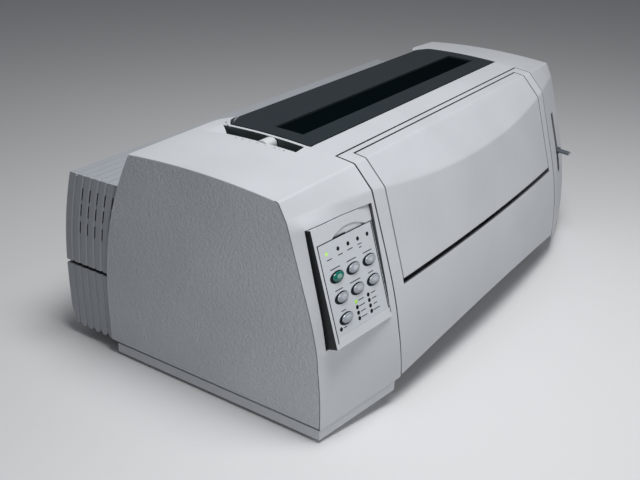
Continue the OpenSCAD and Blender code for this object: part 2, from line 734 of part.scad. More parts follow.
// === frames =====================================================================================
bush_r = 8;
bush_flange = [11, 3];   // radius and width of the flange
flange_y = [66, 258];    // foot of a side frame
shelf_half = 23;
shelf_out = 24;          // how far the shelf for the carriage motor reaches past the belt's end
motor_hole_r = 10;
small_hole_r = 8;
stud_spare = 1;          // studs stand this far out of what turns on them
screw_head = [3.6, 2.4]; // radius and height
rail_y = 50;
rail_z = [108, 126];
rail_w = 18;
rail_t = 2;
module frame_plate(s) mirror([s < 0 ? 1 : 0, 0, 0]) difference() {
    union() {
        across(bay_half, bay_half + frame_t) polygon(frame_points);
        block([bay_half, bay_half + flange_w], flange_y, span(boss_top, 0, frame_t));
        // shelf that carries the carriage motor or the belt's idler
        block([belt_x - shelf_out, bay_half], about(belt_y, shelf_half), span(bracket_z, 0, frame_t));
    }
    for (y = foot_hole_y) translate([screw_x, y, 0]) cylinder(r = screw_r + 0.3, h = 2 * boss_top);
    bar(platen_at, bush_r + seat_play, -far, far);
    bar(guide_at, guide_r + seat_play, -far, far);
    bar(tractor_at, shaft_end_r + shaft_play, -far, far);
    bar(rod_at, rod_r + seat_play, -far, far);
}
module left_frame() color(steel) place() {
    difference() {
        frame_plate(-1);
        translate([-belt_x, belt_y, 0]) cylinder(r = small_hole_r, h = far);
    }
    bar(gap_pivot, stud_r, gap_arm_x - stud_spare, -bay_half - eps);
}
module right_frame() color(steel) place() {
    difference() {
        frame_plate(1);
        bar(motor_at, motor_hole_r, 0, far);
    }
    translate([belt_x, belt_y, bracket_z]) cylinder(r = stud_r, h = belt_z[1] - bracket_z + 3.4);
    bar(idler_at, stud_r, bay_half + eps, gear_x + gear_w + stud_spare);
    bar(paper_pivot, stud_r, bay_half + eps, paper_lever_x + paper_lever_w / 4 + 3 * stud_spare);
}
module frame_screws() color(steel) place() for (s = [-1, 1], y = foot_hole_y)
    translate([s * screw_x, y, 0]) {
        translate([0, 0, floor_t + 1]) cylinder(r = screw_r, h = boss_top + frame_t - floor_t);
        translate([0, 0, boss_top + frame_t]) cylinder(r = screw_head[0], h = screw_head[1]);
    }
module front_rail() color(steel) place() {
    block(about(0, bay_half), span(rail_y, 0, rail_w), span(rail_z[1], -rail_t, 0));
    block(about(0, bay_half), span(rail_y, 0, rail_t), [rail_z[0], rail_z[1] - eps]);
}
module guide_shaft() color(bright) place() bar(guide_at, guide_r, -bay_half - frame_t, bay_half + frame_t);

guide_sheet_t = 1.2;
guide_sheet_r = platen_r + 2.2;
guide_ramp = platen_at + [54, -22.8];
// point on the trough round the underside of the platen
function trough(r, a) = platen_at + r * [cos(a), sin(a)];
module paper_guide() color(charcoal) place() across(-bay_half, bay_half) polygon(concat(
    [for (a = [-140 : 10 : -40]) trough(guide_sheet_r, a)],
    [guide_ramp, guide_ramp - [0, 4 / 3 * guide_sheet_t]],
    [for (a = [-50 : -10 : -140]) trough(guide_sheet_r + guide_sheet_t, a)]));
tear_from = platen_at[0] + 16;
tear_w = 22;
tear_h = 5;
tear_edge = 1.6;
tear_nose = 4;
tear_end = 10.5;         // the bar's ends are no wider than this, clear of the casing's shoulders
tear_side = 4;           // and this is how far in from the shoulders they start
tear_outline = [[0, 0], [tear_w, 0], [tear_w, tear_edge], [tear_nose, tear_h], [0, tear_h]];
tear_pitch = 5;
tooth_w = 2;
tear_teeth = 33;         // each side of the middle
module tear_bar() color(charcoal) place() difference() {
    across(-bay_half, bay_half) translate([tear_from, frame_top]) polygon(tear_outline);
    // teeth along its rear edge
    for (i = [-tear_teeth : tear_teeth]) translate([i * tear_pitch, tear_from + tear_w, frame_top])
        rotate([0, 0, 45]) cube([tooth_w, tooth_w, 4 * tear_h], center = true);
    mirrored() block([shoulder[0][0] - tear_side, far], [tear_from + tear_end, far], [frame_top - 1, far]);
}

// === platen ======================================================================================
knob_seat = 6;           // the shaft ends this far inside the knob
flute_r = 2.4;
flute_out = 1.2;
flute_turn = 24;
module platen() color(black) place() difference() {
    bar(platen_at, platen_r, -platen_half, platen_half);
    bar(platen_at, platen_shaft_r + seat_play, -far, far);
}
module platen_shaft() color(steel) place()
    bar(platen_at, platen_shaft_r, shaft_left, knob_x + knob_out - knob_seat);
module platen_bushes() color(white_plastic) place() mirrored() difference() {
    union() {
        bar(platen_at, bush_r, bay_half - bush_flange[1], bay_half + frame_t);
        bar(platen_at, bush_flange[0], bay_half - bush_flange[1], bay_half);
    }
    bar(platen_at, platen_shaft_r + shaft_play, -far, far);
}
module platen_gear() color(white_plastic) place()
    gear(platen_at, platen_teeth, train_a, gear_x, platen_shaft_r + seat_play);
module platen_knob() color(charcoal) place() difference() {
    bar(platen_at, knob_r, knob_x, half_w + knob_out);
    bar(platen_at, platen_shaft_r + seat_play, knob_x - 1, knob_x + knob_out - knob_seat + seat_play);
    for (a = [0 : flute_turn : 359])
        bar(platen_at + (knob_r + flute_out) * [cos(a), sin(a)], flute_r, knob_x + knob_seat / 2, far);
}

// === paper feed ====================================================================================
feed_motor_r = 21;
feed_motor_l = 32;
motor_shaft_r = 2.5;
module feed_motor() color(steel) place() {
    bar(motor_at, feed_motor_r, bay_half - feed_motor_l, bay_half);
    bar(motor_at, motor_hole_r - seat_play, bay_half - 1, bay_half + frame_t);
}
module feed_pinion() color(white_plastic) place() {
    gear(motor_at, pinion_teeth, pinion_phase, gear_x);
    bar(motor_at, motor_shaft_r, bay_half + frame_t + shaft_gap, gear_x + gear_w);
}
module idler_gear() color(white_plastic) place()
    gear(idler_at, idler_teeth, idler_phase, gear_x, stud_r + shaft_play);
module tractor_gear() color(white_plastic) place()
    gear(tractor_at, tractor_teeth, tractor_phase, gear_x, shaft_end_r + seat_play);
module tractor_shaft() color(steel) place() {
    across(-bay_half + shaft_end_gap, bay_half - shaft_end_gap)
        translate(tractor_at) square(square_w, center = true);
    bar(tractor_at, shaft_end_r, -bay_half - frame_t - shaft_end_gap, gear_x + gear_w);
}
module tractor_rod() color(steel) place() bar(rod_at, rod_r, -bay_half - frame_t, bay_half + frame_t);
shaft_gap = 0.3;
shaft_end_gap = 2;

// one tractor, about x = 0, with its door's hinge on the +X side
tractor_half = tractor_w / 2;
cheek = [[-24, -33], [24, -33], [26, 6], [20, 14], [-20, 14], [-24, 6]];
ear_y = [-18, 13];       // ears that carry the door
ear_l = 5;
ear_r = 2.4;
door_pin_r = 1;
door_barrel = 25.2;
door_pin_l = 36;
door_l = 42;
door_slot = [6.8, 28];
door_x = tractor_half + door_axis_out - 0.2;
ear_gap = 0.4;
module tractor_body() difference() {
    union() {
        mirrored() across(tractor_half - cheek_t, tractor_half)
            translate(tractor_at) difference() {
                polygon(cheek);
                circle(hub_r + shaft_play);
            }
        across(-tractor_half, tractor_half) translate(tractor_at + cheek[0])
            square([cheek[1][0] - cheek[0][0], cheek_t]);
        for (y = ear_y) {
            bar_y(door_x, door_z, ear_r, tractor_at[0] + y, ear_l);
            block([tractor_half - 0.5, tractor_half + door_axis_out + 1.5],
                span(tractor_at[0] + y, 0, ear_l), span(tractor_at[1] + cheek[3][1], -6, 0));
        }
    }
    bar(rod_at, rod_r + shaft_play, -far, far);
    bar_y(door_x, door_z, door_pin_r + shaft_play, 0, far);
}
// a round bar along Y
module bar_y(x, z, r, y, l) translate([x, y, z]) rotate([-90, 0, 0]) cylinder(r = r, h = l);
module sprocket() difference() {
    union() {
        bar(tractor_at, sprocket_r, -sprocket_w / 2, sprocket_w / 2);
        bar(tractor_at, hub_r, -tractor_half, tractor_half);
        for (a = [0 : 360 / pins : 359]) translate([0, tractor_at[0], tractor_at[1]]) rotate([a, 0, 0])
            translate([0, 0, sprocket_r - pin_root])
                cylinder(r = pin_r, h = pin_tip - sprocket_r + pin_root);
    }
    across(-far, far) translate(tractor_at) square(square_w + 0.3, center = true);
}
sprocket_w = 8;
pin_root = 3;
module tractor_door() difference() {
    union() {
        block([-tractor_half, tractor_half + door_axis_out / 2], about(tractor_at[0], door_l / 2),
            about(door_z, tractor_door_t / 2));
        bar_y(door_x, door_z, tractor_door_t, tractor_at[0] - door_barrel / 2, door_barrel);
        bar_y(door_x, door_z, door_pin_r, tractor_at[0] - door_pin_l / 2, door_pin_l);
    }
    block(about(0, door_slot[0] / 2), about(tractor_at[0], door_slot[1] / 2),
        about(door_z, tractor_half));
    // room for the ears, round the pins
    for (y = ear_y) difference() {
        block([tractor_half - 0.2, tractor_w], span(tractor_at[0] + y, -ear_gap, ear_l + ear_gap),
            about(door_z, tractor_half));
        bar_y(door_x, door_z, door_pin_r, 0, far);
    }
}
module left_side() translate([-tractor_x, 0, 0]) mirror([1, 0, 0]) children();
module right_side() translate([tractor_x, 0, 0]) children();
module left_tractor() color(charcoal) place() left_side() tractor_body();
module left_sprocket() color(white_plastic) place() left_side() sprocket();
module left_tractor_door() color(charcoal) place() left_side() tractor_door();
module right_tractor() color(charcoal) place() right_side() tractor_body();
module right_sprocket() color(white_plastic) place() right_side() sprocket();
module right_tractor_door() color(charcoal) place() right_side() tractor_door();

// === carriage =======================================================================================
carriage_y = [60, 118];
lip_w = 7;               // lip that keeps the carriage's front down on its rail
lip_z = [126.1, 129.1];
clamp_half = 10;         // clamp on the belt's near strand
clamp_t = 3.7;
clamp_gap = 0.3;
clamp_z = [115, 128.6];
cable_half = 20;         // pocket for the flat cable
cable_y = [66, 80];
cable_deep = 6;
module carriage() color(charcoal) place() difference() {
    union() {
        block(about(0, carriage_half), carriage_y, carriage_z);
        block(about(0, carriage_half), span(carriage_y[0], 0, lip_w), lip_z);
        for (y = [belt_y + pulley_r - clamp_t - clamp_gap, belt_y + pulley_r + belt_t + clamp_gap])
            block(about(0, clamp_half), span(y, 0, clamp_t), clamp_z);
    }
    bar(guide_at, guide_r + shaft_play, -far, far);
    block(about(0, cable_half), cable_y, span(carriage_z[1], -cable_deep, cable_deep));
}
head_half = 20;
head_y = [86, 116];
head_h = 34;
cone_half = 11;          // casting round the wires
cone_y = [110, 124];
cone_z = 9;
nose_half = 6;           // nose that holds the wires' tips before the ribbon
nose_z = 5;
fin_count = 5;
fin_pitch = 7;
fin_gap = 4;
fin_x = -16;
fin_y = [84, 104];
fin_foot = 8;
module print_head() color([0.35, 0.36, 0.38]) place() difference() {
    union() {
        block(about(0, head_half), head_y, span(carriage_z[1], 0, head_h));
        block(about(0, nose_half), [cone_y[0], head_tip], about(platen_at[1], nose_z));
        block(about(0, cone_half), cone_y, about(platen_at[1], cone_z));
    }
    // cooling fins
    for (i = [0 : fin_count - 1])
        block(span(fin_x + i * fin_pitch, 0, fin_gap), fin_y, span(carriage_z[1], fin_foot, 2 * head_h));
}
cartridge_y = [66, 124];
cartridge_h = 18;
horn_x = [24, 28];       // horns that carry the ribbon past the print head
horn_y = [110, 132];
horn_z = [-8, 16];
ribbon_knob = [14, 90];
ribbon_knob_r = 8;
ribbon_knob_h = 4;
module ribbon_cartridge() color(black) place() {
    block(about(0, cartridge_half), cartridge_y, span(carriage_z[1] + head_h, 0, cartridge_h));
    mirrored() block(horn_x, horn_y, span(platen_at[1], horn_z[0], horn_z[1]));
    translate([ribbon_knob[0], ribbon_knob[1], carriage_z[1] + head_h + cartridge_h])
        cylinder(r = ribbon_knob_r, h = ribbon_knob_h);
}
module carriage_belt() color(black) place()
    translate([0, belt_y, belt_z[0]]) linear_extrude(belt_z[1] - belt_z[0]) difference() {
        belt_loop(pulley_r + belt_t);
        belt_loop(pulley_r + seat_play);
    }
module belt_loop(r) {
    for (s = [-1, 1]) translate([s * belt_x, 0]) circle(r);
    square([2 * belt_x, 2 * r], center = true);
}
carriage_motor_r = 19.5;
carriage_motor_l = 42;
module carriage_motor() color(steel) place() translate([-belt_x, belt_y, bracket_z]) {
    translate([0, 0, -carriage_motor_l]) cylinder(r = carriage_motor_r, h = carriage_motor_l);
    translate([0, 0, -1]) cylinder(r = small_hole_r - seat_play, h = 1 + frame_t);
}
pulley_gap = 0.3;        // between the belt's edges and the pulley's flanges
pulley_flange = [2, 1];  // how far it stands out, and its thickness
module pulley() {
    z = [belt_z[0] - pulley_gap, belt_z[1] + pulley_gap];
    translate([0, 0, z[0]]) cylinder(r = pulley_r, h = z[1] - z[0]);
    for (low = [z[0] - pulley_flange[1], z[1]])
        translate([0, 0, low]) cylinder(r = pulley_r + pulley_flange[0], h = pulley_flange[1]);
}
module motor_pulley() color(white_plastic) place() translate([-belt_x, belt_y, 0]) {
    pulley();
    translate([0, 0, bracket_z + frame_t + shaft_gap]) cylinder(r = motor_shaft_r, h = small_hole_r);
}
module idler_pulley() color(white_plastic) place() translate([belt_x, belt_y, 0]) difference() {
    pulley();
    cylinder(r = stud_r + shaft_play, h = far);
}

// === electronics ======================================================================================
board_top = standoff_top + board_t;
// parts on a board, each as [x, y, width, depth, height] from the board's corner
logic_parts = [[20, 30, 36, 36, 4], [70, 40, 30, 12, 4], [70, 62, 30, 12, 4], [112, 36, 24, 24, 3],
    [20, 90, 60, 10, 8]];
power_parts = [[14, 22, 52, 44, 38], [82, 60, 50, 3, 26]];
capacitor_x = [96, 122];
capacitor_y = 30;
capacitor_r = 10;
capacitor_h = 30;
module board(at, size, parts) {
    translate([at[0], at[1], standoff_top]) cube([size[0], size[1], board_t]);
    for (p = parts) translate([at[0] + p[0], at[1] + p[1], board_top]) cube([p[2], p[3], p[4]]);
}
module logic_board() color([0.1, 0.35, 0.2]) place() board(logic_at, logic_size, logic_parts);
module power_supply() color([0.15, 0.3, 0.2]) place() {
    board(power_at, power_size, power_parts);
    for (x = capacitor_x) translate([power_at[0] + x, power_at[1] + capacitor_y, board_top])
        cylinder(r = capacitor_r, h = capacitor_h);
}
socket_deep = 24;
collar = [2, 3];         // the inlet's collar: how far it laps the wall inside, and its thickness
inlet_hole = [23, 15, 17];
shell_hole = [46, 8, 8];
hole_up = 3;
module power_inlet() color(black) place() translate([inlet_x, rear_y, inlet_z]) difference() {
    union() {
        block(about(0, inlet_w / 2 - socket_play), [-socket_deep, 0],
            [socket_play, socket_h - socket_play]);
        block(about(0, inlet_w / 2 + collar[0]), span(-cover_wall, -collar[1], 0),
            [-collar[0], socket_h + collar[0]]);
    }
    block(about(0, inlet_hole[0] / 2), [-inlet_hole[2], far], span(hole_up, 0, inlet_hole[1]));
}
rocker_r = socket_h / 2 - 0.3;
rocker_at = [rear_y - rocker_r, inlet_z + socket_h / 2];
rocker_valley = [[7.2, 0], [9, rocker_r], [far, rocker_r], [far, -rocker_r], [6.4, -rocker_r]];
module power_switch() color(black) place() difference() {
    bar(rocker_at, rocker_r, switch_x - switch_w / 2 + socket_play, switch_x + switch_w / 2 - socket_play);
    // the two faces of the rocker meet in a shallow valley
    across(-far, far) translate(rocker_at) polygon(rocker_valley);
}
module data_connector() color([0.6, 0.6, 0.62]) place() translate([plug_x, rear_y, plug_z]) difference() {
    block(about(0, plug_w / 2 - socket_play), [-socket_deep, 0], [socket_play, plug_h - socket_play]);
    block(about(0, shell_hole[0] / 2), [-shell_hole[2], far], span(hole_up, 0, shell_hole[1]));
}

// === operator panel =====================================================================================
recess_r = 45;           // curve of the thumb recess above the overlay
recess_at = [-31, -38];
recess_deep = 1.2;
underside_a = 62.5;      // the underside slopes back and down
post_r = 2.5;
post_places = [[-66, -50], [-66, 3], [-2, -62], [-2, 3]];
tab_w = 30;              // tabs that bear on the inside of the column
tab_reach = 5;
overlay_left = 0.5;      // the overlay's right edge stands this far in
overlay_seat = 0.1;
board_over = [8, 2];     // the board reaches this far past the overlay, above and below
key_floor = board_z + board_t + key_travel + 0.3;
key_crown = [0 : 30 : 90];
module key_holes() for (i = [0 : 6])
    translate(concat(key_at(i), [-far / 2])) linear_extrude(far)
        ellipse(key_w + 2 * key_play, key_h + 2 * key_play);
module lamp_holes() for (p = concat(lit, dark))
    translate([p[0], p[1], -far / 2]) cylinder(r = lamp_r + seat_play, h = far);
panel_x = [panel_right - panel_w, panel_right];
panel_y = [panel_top - panel_h, panel_top];
inner_foot = 4;          // the wall under the overlay is thicker by this
module housing_shell() difference() {
    block(panel_x, panel_y, [-panel_deep, 0]);
    block(panel_x + [panel_skin, -panel_skin], panel_y + [panel_skin + inner_foot, -panel_skin],
        [-2 * panel_deep, -panel_skin]);
    // sloping underside
    translate([-far / 2, panel_y[0], 0]) rotate([-underside_a, 0, 0])
        translate([0, -far, -far / 2]) cube([far, far, far]);
}
module panel_housing() color(pale) place() {
    on_panel() difference() {
        union() {
            housing_shell();
            for (p = post_places) translate([p[0], p[1], board_z + board_t])
                cylinder(r = post_r, h = -board_z - board_t - panel_skin + eps);
        }
        overlay_plate(overlay_seat, far);
        intersection() {
            translate([recess_at[0], recess_at[1], -recess_deep])
                cylinder(r = recess_r, h = 2 * recess_deep);
            block([-far, far], [0, panel_h], [-panel_deep, far]);
        }
        key_holes();
        lamp_holes();
    }
    intersection() {
        on_panel() block(about((panel_x[0] + panel_x[1]) / 2, tab_w / 2), span(panel_top, -eps, tab_reach),
            [-panel_deep, 0]);
        form(casing_wall);
    }
}
// the overlay's outline, grown by g, from its underside up to z
module overlay_plate(g, z)
    block([-overlay_w - overlay_left - g, g - overlay_left], [-overlay_h - g, g], [-overlay_t, z]);
module panel_overlay() color([0.84, 0.85, 0.87]) place() on_panel() difference() {
    overlay_plate(0, 0);
    key_holes();
    lamp_holes();
}
module panel_board() color([0.1, 0.35, 0.2]) place() on_panel()
    block(panel_x + [panel_skin + shaft_gap, -panel_skin - shaft_gap],
        [-overlay_h - board_over[1], board_over[0]], span(board_z, 0, board_t));
module key(i) place() on_panel() translate(concat(key_at(i), [0])) {
    translate([0, 0, key_floor]) linear_extrude(-key_floor) ellipse(key_w, key_h);
    // crowned top
    hull() for (a = key_crown) translate([0, 0, key_out * sin(a)]) linear_extrude(eps)
        ellipse(key_w * (0.35 + 0.65 * cos(a)), key_h * (0.35 + 0.65 * cos(a)));
}
module start_key() color([0.05, 0.5, 0.45]) key(0);
module key_2() color(key_grey) key(1);
module key_3() color(key_grey) key(2);
module key_4() color(key_grey) key(3);
module key_5() color(key_grey) key(4);
module key_6() color(key_grey) key(5);
module key_7() color(key_grey) key(6);
module lamp_set(places) place() on_panel() for (p = places)
    translate([p[0], p[1], board_z + board_t]) cylinder(r = lamp_r, h = -board_z - board_t + 0.1);
module lamps_lit() color([0.6, 0.9, 0.2]) lamp_set(lit);
module lamps_dark() color(black) lamp_set(dark);

// === levers ======================================================================================
paper_lever_a = 6.3;     // droop of the lever at rest
lever_hub_r = 7;
lever_web = 8;
lever_tip = [20, 3];     // length and thickness of the finger tab
module paper_lever() color([0.45, 0.46, 0.48]) place()
    translate([paper_lever_x, paper_pivot[0], paper_pivot[1]]) difference() {
        rotate([paper_lever_a, 0, 0]) {
            rotate([0, 90, 0]) cylinder(r = lever_hub_r, h = paper_lever_w / 2, center = true);
            block(about(0, paper_lever_w / 4), [-paper_lever_l + 0.7 * lever_tip[0], 0],
                about(0, lever_web / 2));
            block(about(0, paper_lever_w / 2), span(-paper_lever_l, 0, lever_tip[0]),
                about(0, lever_tip[1] / 2));
        }
        rotate([0, 90, 0]) cylinder(r = stud_r + shaft_play, h = far, center = true);
    }
knob_half = 6.6;
knob_z = [-6, 3];
gap_hub_r = 6;
gap_arm_half = 3.5;
module gap_lever() color(white_plastic) place() difference() {
    union() {
        across(gap_arm_x, gap_arm_x + gap_arm_t) translate(gap_pivot) {
            circle(gap_hub_r);
            translate([-gap_arm_half, 0]) square([2 * gap_arm_half, gap_lever_l]);
        }
        block([gap_arm_x, trench_x[1] - 1], about(gap_pivot[0], knob_half),
            span(gap_pivot[1] + gap_lever_l, knob_z[0], knob_z[1]));
    }
    bar(gap_pivot, stud_r + shaft_play, -far, 0);
}

base_pan();
feet();
upper_casing();
front_cover();
front_door();
ribbon_lid();
lid_window();
tractor_cover();
rear_cover();
left_frame();
right_frame();
frame_screws();
front_rail();
guide_shaft();
paper_guide();
tear_bar();
platen();
platen_shaft();
platen_gear();
platen_knob();
platen_bushes();
feed_motor();
feed_pinion();
idler_gear();
tractor_gear();
tractor_shaft();
tractor_rod();
left_tractor();
left_sprocket();
left_tractor_door();
right_tractor();
right_sprocket();
right_tractor_door();
carriage();
print_head();
ribbon_cartridge();
carriage_belt();
carriage_motor();
motor_pulley();
idler_pulley();
logic_board();
power_supply();
panel_housing();
panel_overlay();
panel_board();
start_key();
key_2();
key_3();
key_4();
key_5();
key_6();
key_7();
lamps_lit();
lamps_dark();
paper_lever();
gap_lever();
power_switch();
power_inlet();
data_connector();
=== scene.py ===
import json
import math

import bmesh
import bpy
import numpy as np
from mathutils import Matrix, Vector


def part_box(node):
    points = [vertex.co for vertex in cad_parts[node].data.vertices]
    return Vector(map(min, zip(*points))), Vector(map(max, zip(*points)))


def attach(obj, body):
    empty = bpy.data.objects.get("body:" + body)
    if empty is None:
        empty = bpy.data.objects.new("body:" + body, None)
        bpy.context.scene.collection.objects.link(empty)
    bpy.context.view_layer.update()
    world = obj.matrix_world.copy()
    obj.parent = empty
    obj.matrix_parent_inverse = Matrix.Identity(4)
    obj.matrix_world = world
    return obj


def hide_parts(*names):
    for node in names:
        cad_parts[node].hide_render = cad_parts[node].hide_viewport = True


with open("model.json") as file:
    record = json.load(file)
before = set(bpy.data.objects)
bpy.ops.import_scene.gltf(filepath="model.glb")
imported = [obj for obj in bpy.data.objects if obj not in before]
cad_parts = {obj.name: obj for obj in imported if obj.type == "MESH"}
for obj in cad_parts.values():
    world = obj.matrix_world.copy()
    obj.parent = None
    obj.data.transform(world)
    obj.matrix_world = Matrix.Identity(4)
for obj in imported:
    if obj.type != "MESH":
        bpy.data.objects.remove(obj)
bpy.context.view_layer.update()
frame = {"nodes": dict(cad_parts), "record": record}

# === Desk, light and view =============================================
# A wide-carriage dot matrix printer stands on a plain pale desk under one large soft lamp.
# It is seen from its front left, from a little above, as someone who walks up to it sees it.
view_from = Vector((-0.8191, -0.4876, 0.4923))
view_turn = math.radians(56.08)      # from +Y towards +X
view_down = math.radians(25.22)
view_roll = math.radians(0.94)
level = Vector((math.cos(view_turn), -math.sin(view_turn), 0))
ahead = Vector((math.sin(view_turn) * math.cos(view_down), math.cos(view_turn) * math.cos(view_down),
    -math.sin(view_down)))
upward = level.cross(ahead)
right = level * math.cos(view_roll) + upward * math.sin(view_roll)
up = upward * math.cos(view_roll) - level * math.sin(view_roll)


def placed(name, data):
    """A new object with that data, linked to the scene."""
    thing = bpy.data.objects.new(name, data)
    bpy.context.scene.collection.objects.link(thing)
    return thing


camera = placed("camera", bpy.data.cameras.new("camera"))
camera.data.lens = 48.68
camera.data.clip_start = 0.05
camera.matrix_world = Matrix((right, up, -ahead)).transposed().to_4x4()
camera.location = view_from
bpy.context.scene.camera = camera
bpy.context.scene.view_settings.view_transform = "Standard"


def begun(name, **values):
    """A new material, with its node tree and its shader, whose sockets are set by name."""
    material = bpy.data.materials.new(name)
    material.use_nodes = True
    shader = material.node_tree.nodes["Principled BSDF"]
    for key, value in values.items():
        shader.inputs[key.replace("_", " ")].default_value = value
    return material, material.node_tree, shader


def socketed(tree, kind, **values):
    """A new node of that kind, with its settings or sockets set by name."""
    node = tree.nodes.new(kind)
    for key, value in values.items():
        if hasattr(node, key):
            setattr(node, key, value)
        else:
            node.inputs[key.replace("_", " ")].default_value = value
    return node


def laid_down(name, colour, shade):
    """The desk's finish: colour where it is seen, and a duller shade in the light that it throws back, so
    that it doesn't light the printer from below."""
    material, tree, shader = begun(name, Roughness=0.8)
    ray = tree.nodes.new("ShaderNodeLightPath")
    seen = socketed(tree, "ShaderNodeMath", operation="ADD", use_clamp=True)
    tree.links.new(ray.outputs["Is Camera Ray"], seen.inputs[0])
    tree.links.new(ray.outputs["Is Glossy Ray"], seen.inputs[1])
    mixed = socketed(tree, "ShaderNodeMix", data_type="RGBA")
    tree.links.new(seen.outputs[0], mixed.inputs[0])
    mixed.inputs[6].default_value = (*shade, 1)
    mixed.inputs[7].default_value = (*colour, 1)
    tree.links.new(mixed.outputs[2], shader.inputs["Base Color"])
    return material


desk_half = 7.0
desk = placed("desk", bpy.data.meshes.new("desk"))
desk.data.from_pydata([(x * desk_half, y * desk_half, -0.0002)
    for x, y in ((-1, -1), (1, -1), (1, 1), (-1, 1))], [], [(0, 1, 2, 3)])
desk.data.materials.append(laid_down("desk_top", (0.80, 0.81, 0.82), (0.30, 0.31, 0.32)))


def lamp(name, place, target, size, watts):
    """A square soft lamp that faces target."""
    light = placed(name, bpy.data.lights.new(name, "AREA"))
    light.data.shape = "SQUARE"
    light.data.size = size
    light.data.energy = watts
    light.location = place
    light.rotation_euler = (Vector(target) - Vector(place)).to_track_quat("-Z", "Y").to_euler()


lamp("key_lamp", (-0.24, -0.30, 1.2), (0, 0, 0.12), 0.5, 10.6)
lamp("side_lamp", (-0.76, -0.52, 0.06), (-0.3, -0.1, 0.05), 0.3, 1.5)
lamp("front_lamp", (0.42, -1.05, 0.24), (0.1, -0.1, 0.05), 0.4, 1.9)
sky = bpy.data.worlds.new("sky")
bpy.context.scene.world = sky
sky.use_nodes = True
sky.node_tree.nodes["Background"].inputs["Color"].default_value = (0.92, 0.95, 1.0, 1)
sky.node_tree.nodes["Background"].inputs["Strength"].default_value = 0.12

# === Base pan and feet ================================================
# A shallow injection-moulded tray that carries everything. Its edge shows as a band under the
# casing, set in behind a dark seam. Four soft rubber feet are stuck under it.
low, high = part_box("upper_casing")
back_plane = 322.0
datum = np.array([(low.x + high.x) / 2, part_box("rear_cover")[1].y - back_plane / 1000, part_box("feet")[1].z])
body_of = {node: body for body, members in frame["record"]["behaviour"]["bodies"].items() for node in members}
pale = (0.60, 0.625, 0.66)
pale_side = (0.57, 0.60, 0.64)


def coloured_by(tree, source, shader, colours, stops=(0, 1)):
    """Colours the surface by a value: the first colour at the first stop, the second at the second."""
    ramp = tree.nodes.new("ShaderNodeValToRGB")
    for element, colour, stop in zip(ramp.color_ramp.elements, colours, stops):
        element.position = stop
        element.color = (*colour, 1)
    tree.links.new(source, ramp.inputs["Fac"])
    tree.links.new(ramp.outputs["Color"], shader.inputs["Base Color"])


def raised_by(tree, source, shader, depth, distance, invert=False):
    """Lifts the surface by a value."""
    bump = socketed(tree, "ShaderNodeBump", Strength=depth, Distance=distance, invert=invert)
    tree.links.new(source, bump.inputs["Height"])
    tree.links.new(bump.outputs["Normal"], shader.inputs["Normal"])


def roughened_by(tree, source, shader, ends, span=(0, 1)):
    """Sets the roughness by a value: the first end at the start of span, the second at its end."""
    gloss = socketed(tree, "ShaderNodeMapRange", From_Min=span[0], From_Max=span[1], To_Min=ends[0],
        To_Max=ends[1])
    tree.links.new(source, gloss.inputs["Value"])
    tree.links.new(gloss.outputs["Result"], shader.inputs["Roughness"])


def textured(tree, kind, **values):
    """A texture of that kind on the piece's own coordinates."""
    node = socketed(tree, kind, **values)
    tree.links.new(tree.nodes.new("ShaderNodeTexCoord").outputs["Object"], node.inputs["Vector"])
    return node


def grained(name, colour, rough=0.5, grain=0.0012, depth=0.5, tint=0.04, shine=0.5, fuzz=0.3, metal=0.0,
        relief=0.1):
    """A surface with a fine tooled or cast grain of that size in metres: a colour that clouds very slightly,
    over two sizes of rounded noise that stand up by relief times the grain, and are smoother on top."""
    material, tree, shader = begun(name, Specular_IOR_Level=shine, Metallic=metal)
    place = tree.nodes.new("ShaderNodeTexCoord").outputs["Object"]
    clouds = socketed(tree, "ShaderNodeTexNoise", Scale=14.0, Detail=3.0)
    tree.links.new(place, clouds.inputs["Vector"])
    swing = (0.3, 0.7)
    coloured_by(tree, clouds.outputs["Fac"], shader, ([c * (1 - tint) for c in colour],
        [min(1, c * (1 + tint)) for c in colour]), swing)
    coarse = textured(tree, "ShaderNodeTexNoise", Scale=0.62 / grain, Detail=1.5, Roughness=0.45)
    fine = textured(tree, "ShaderNodeTexNoise", Scale=1.7 / grain, Detail=1.0)
    height = socketed(tree, "ShaderNodeMix", data_type="FLOAT")
    height.inputs[0].default_value = fuzz
    tree.links.new(coarse.outputs["Fac"], height.inputs[2])
    tree.links.new(fine.outputs["Fac"], height.inputs[3])
    raised_by(tree, height.outputs[0], shader, depth, relief * grain)
    roughened_by(tree, height.outputs[0], shader, (min(1, rough + 0.06), max(0, rough - 0.06)), swing)
    return material


def finish_mesh(piece, sharp=32):
    """Works out the piece's modifiers, then shades it smooth up to that angle between faces."""
    done = bpy.data.meshes.new_from_object(piece.evaluated_get(bpy.context.evaluated_depsgraph_get()))
    done.name = piece.name
    piece.modifiers.clear()
    piece.data = done
    done.shade_smooth()
    done.set_sharp_from_angle(angle=math.radians(sharp))
    return piece


def bevelled(piece, edge):
    """Rounds the edges that turn by more than 40 degrees, by edge millimetres."""
    bevel = piece.modifiers.new("rounded", "BEVEL")
    bevel.width = edge / 1000
    bevel.segments = 2
    bevel.limit_method = "ANGLE"
    bevel.angle_limit = math.radians(40)
    return finish_mesh(piece)


def handed_over(piece, body, slot, *nodes):
    """Keeps flat faces flat beside rounded edges, and gives the piece its body and nodes. The slot is not used.
    """
    piece.modifiers.new("flat", "WEIGHTED_NORMAL").keep_sharp = True
    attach(piece, body)
    if nodes:
        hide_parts(*nodes)


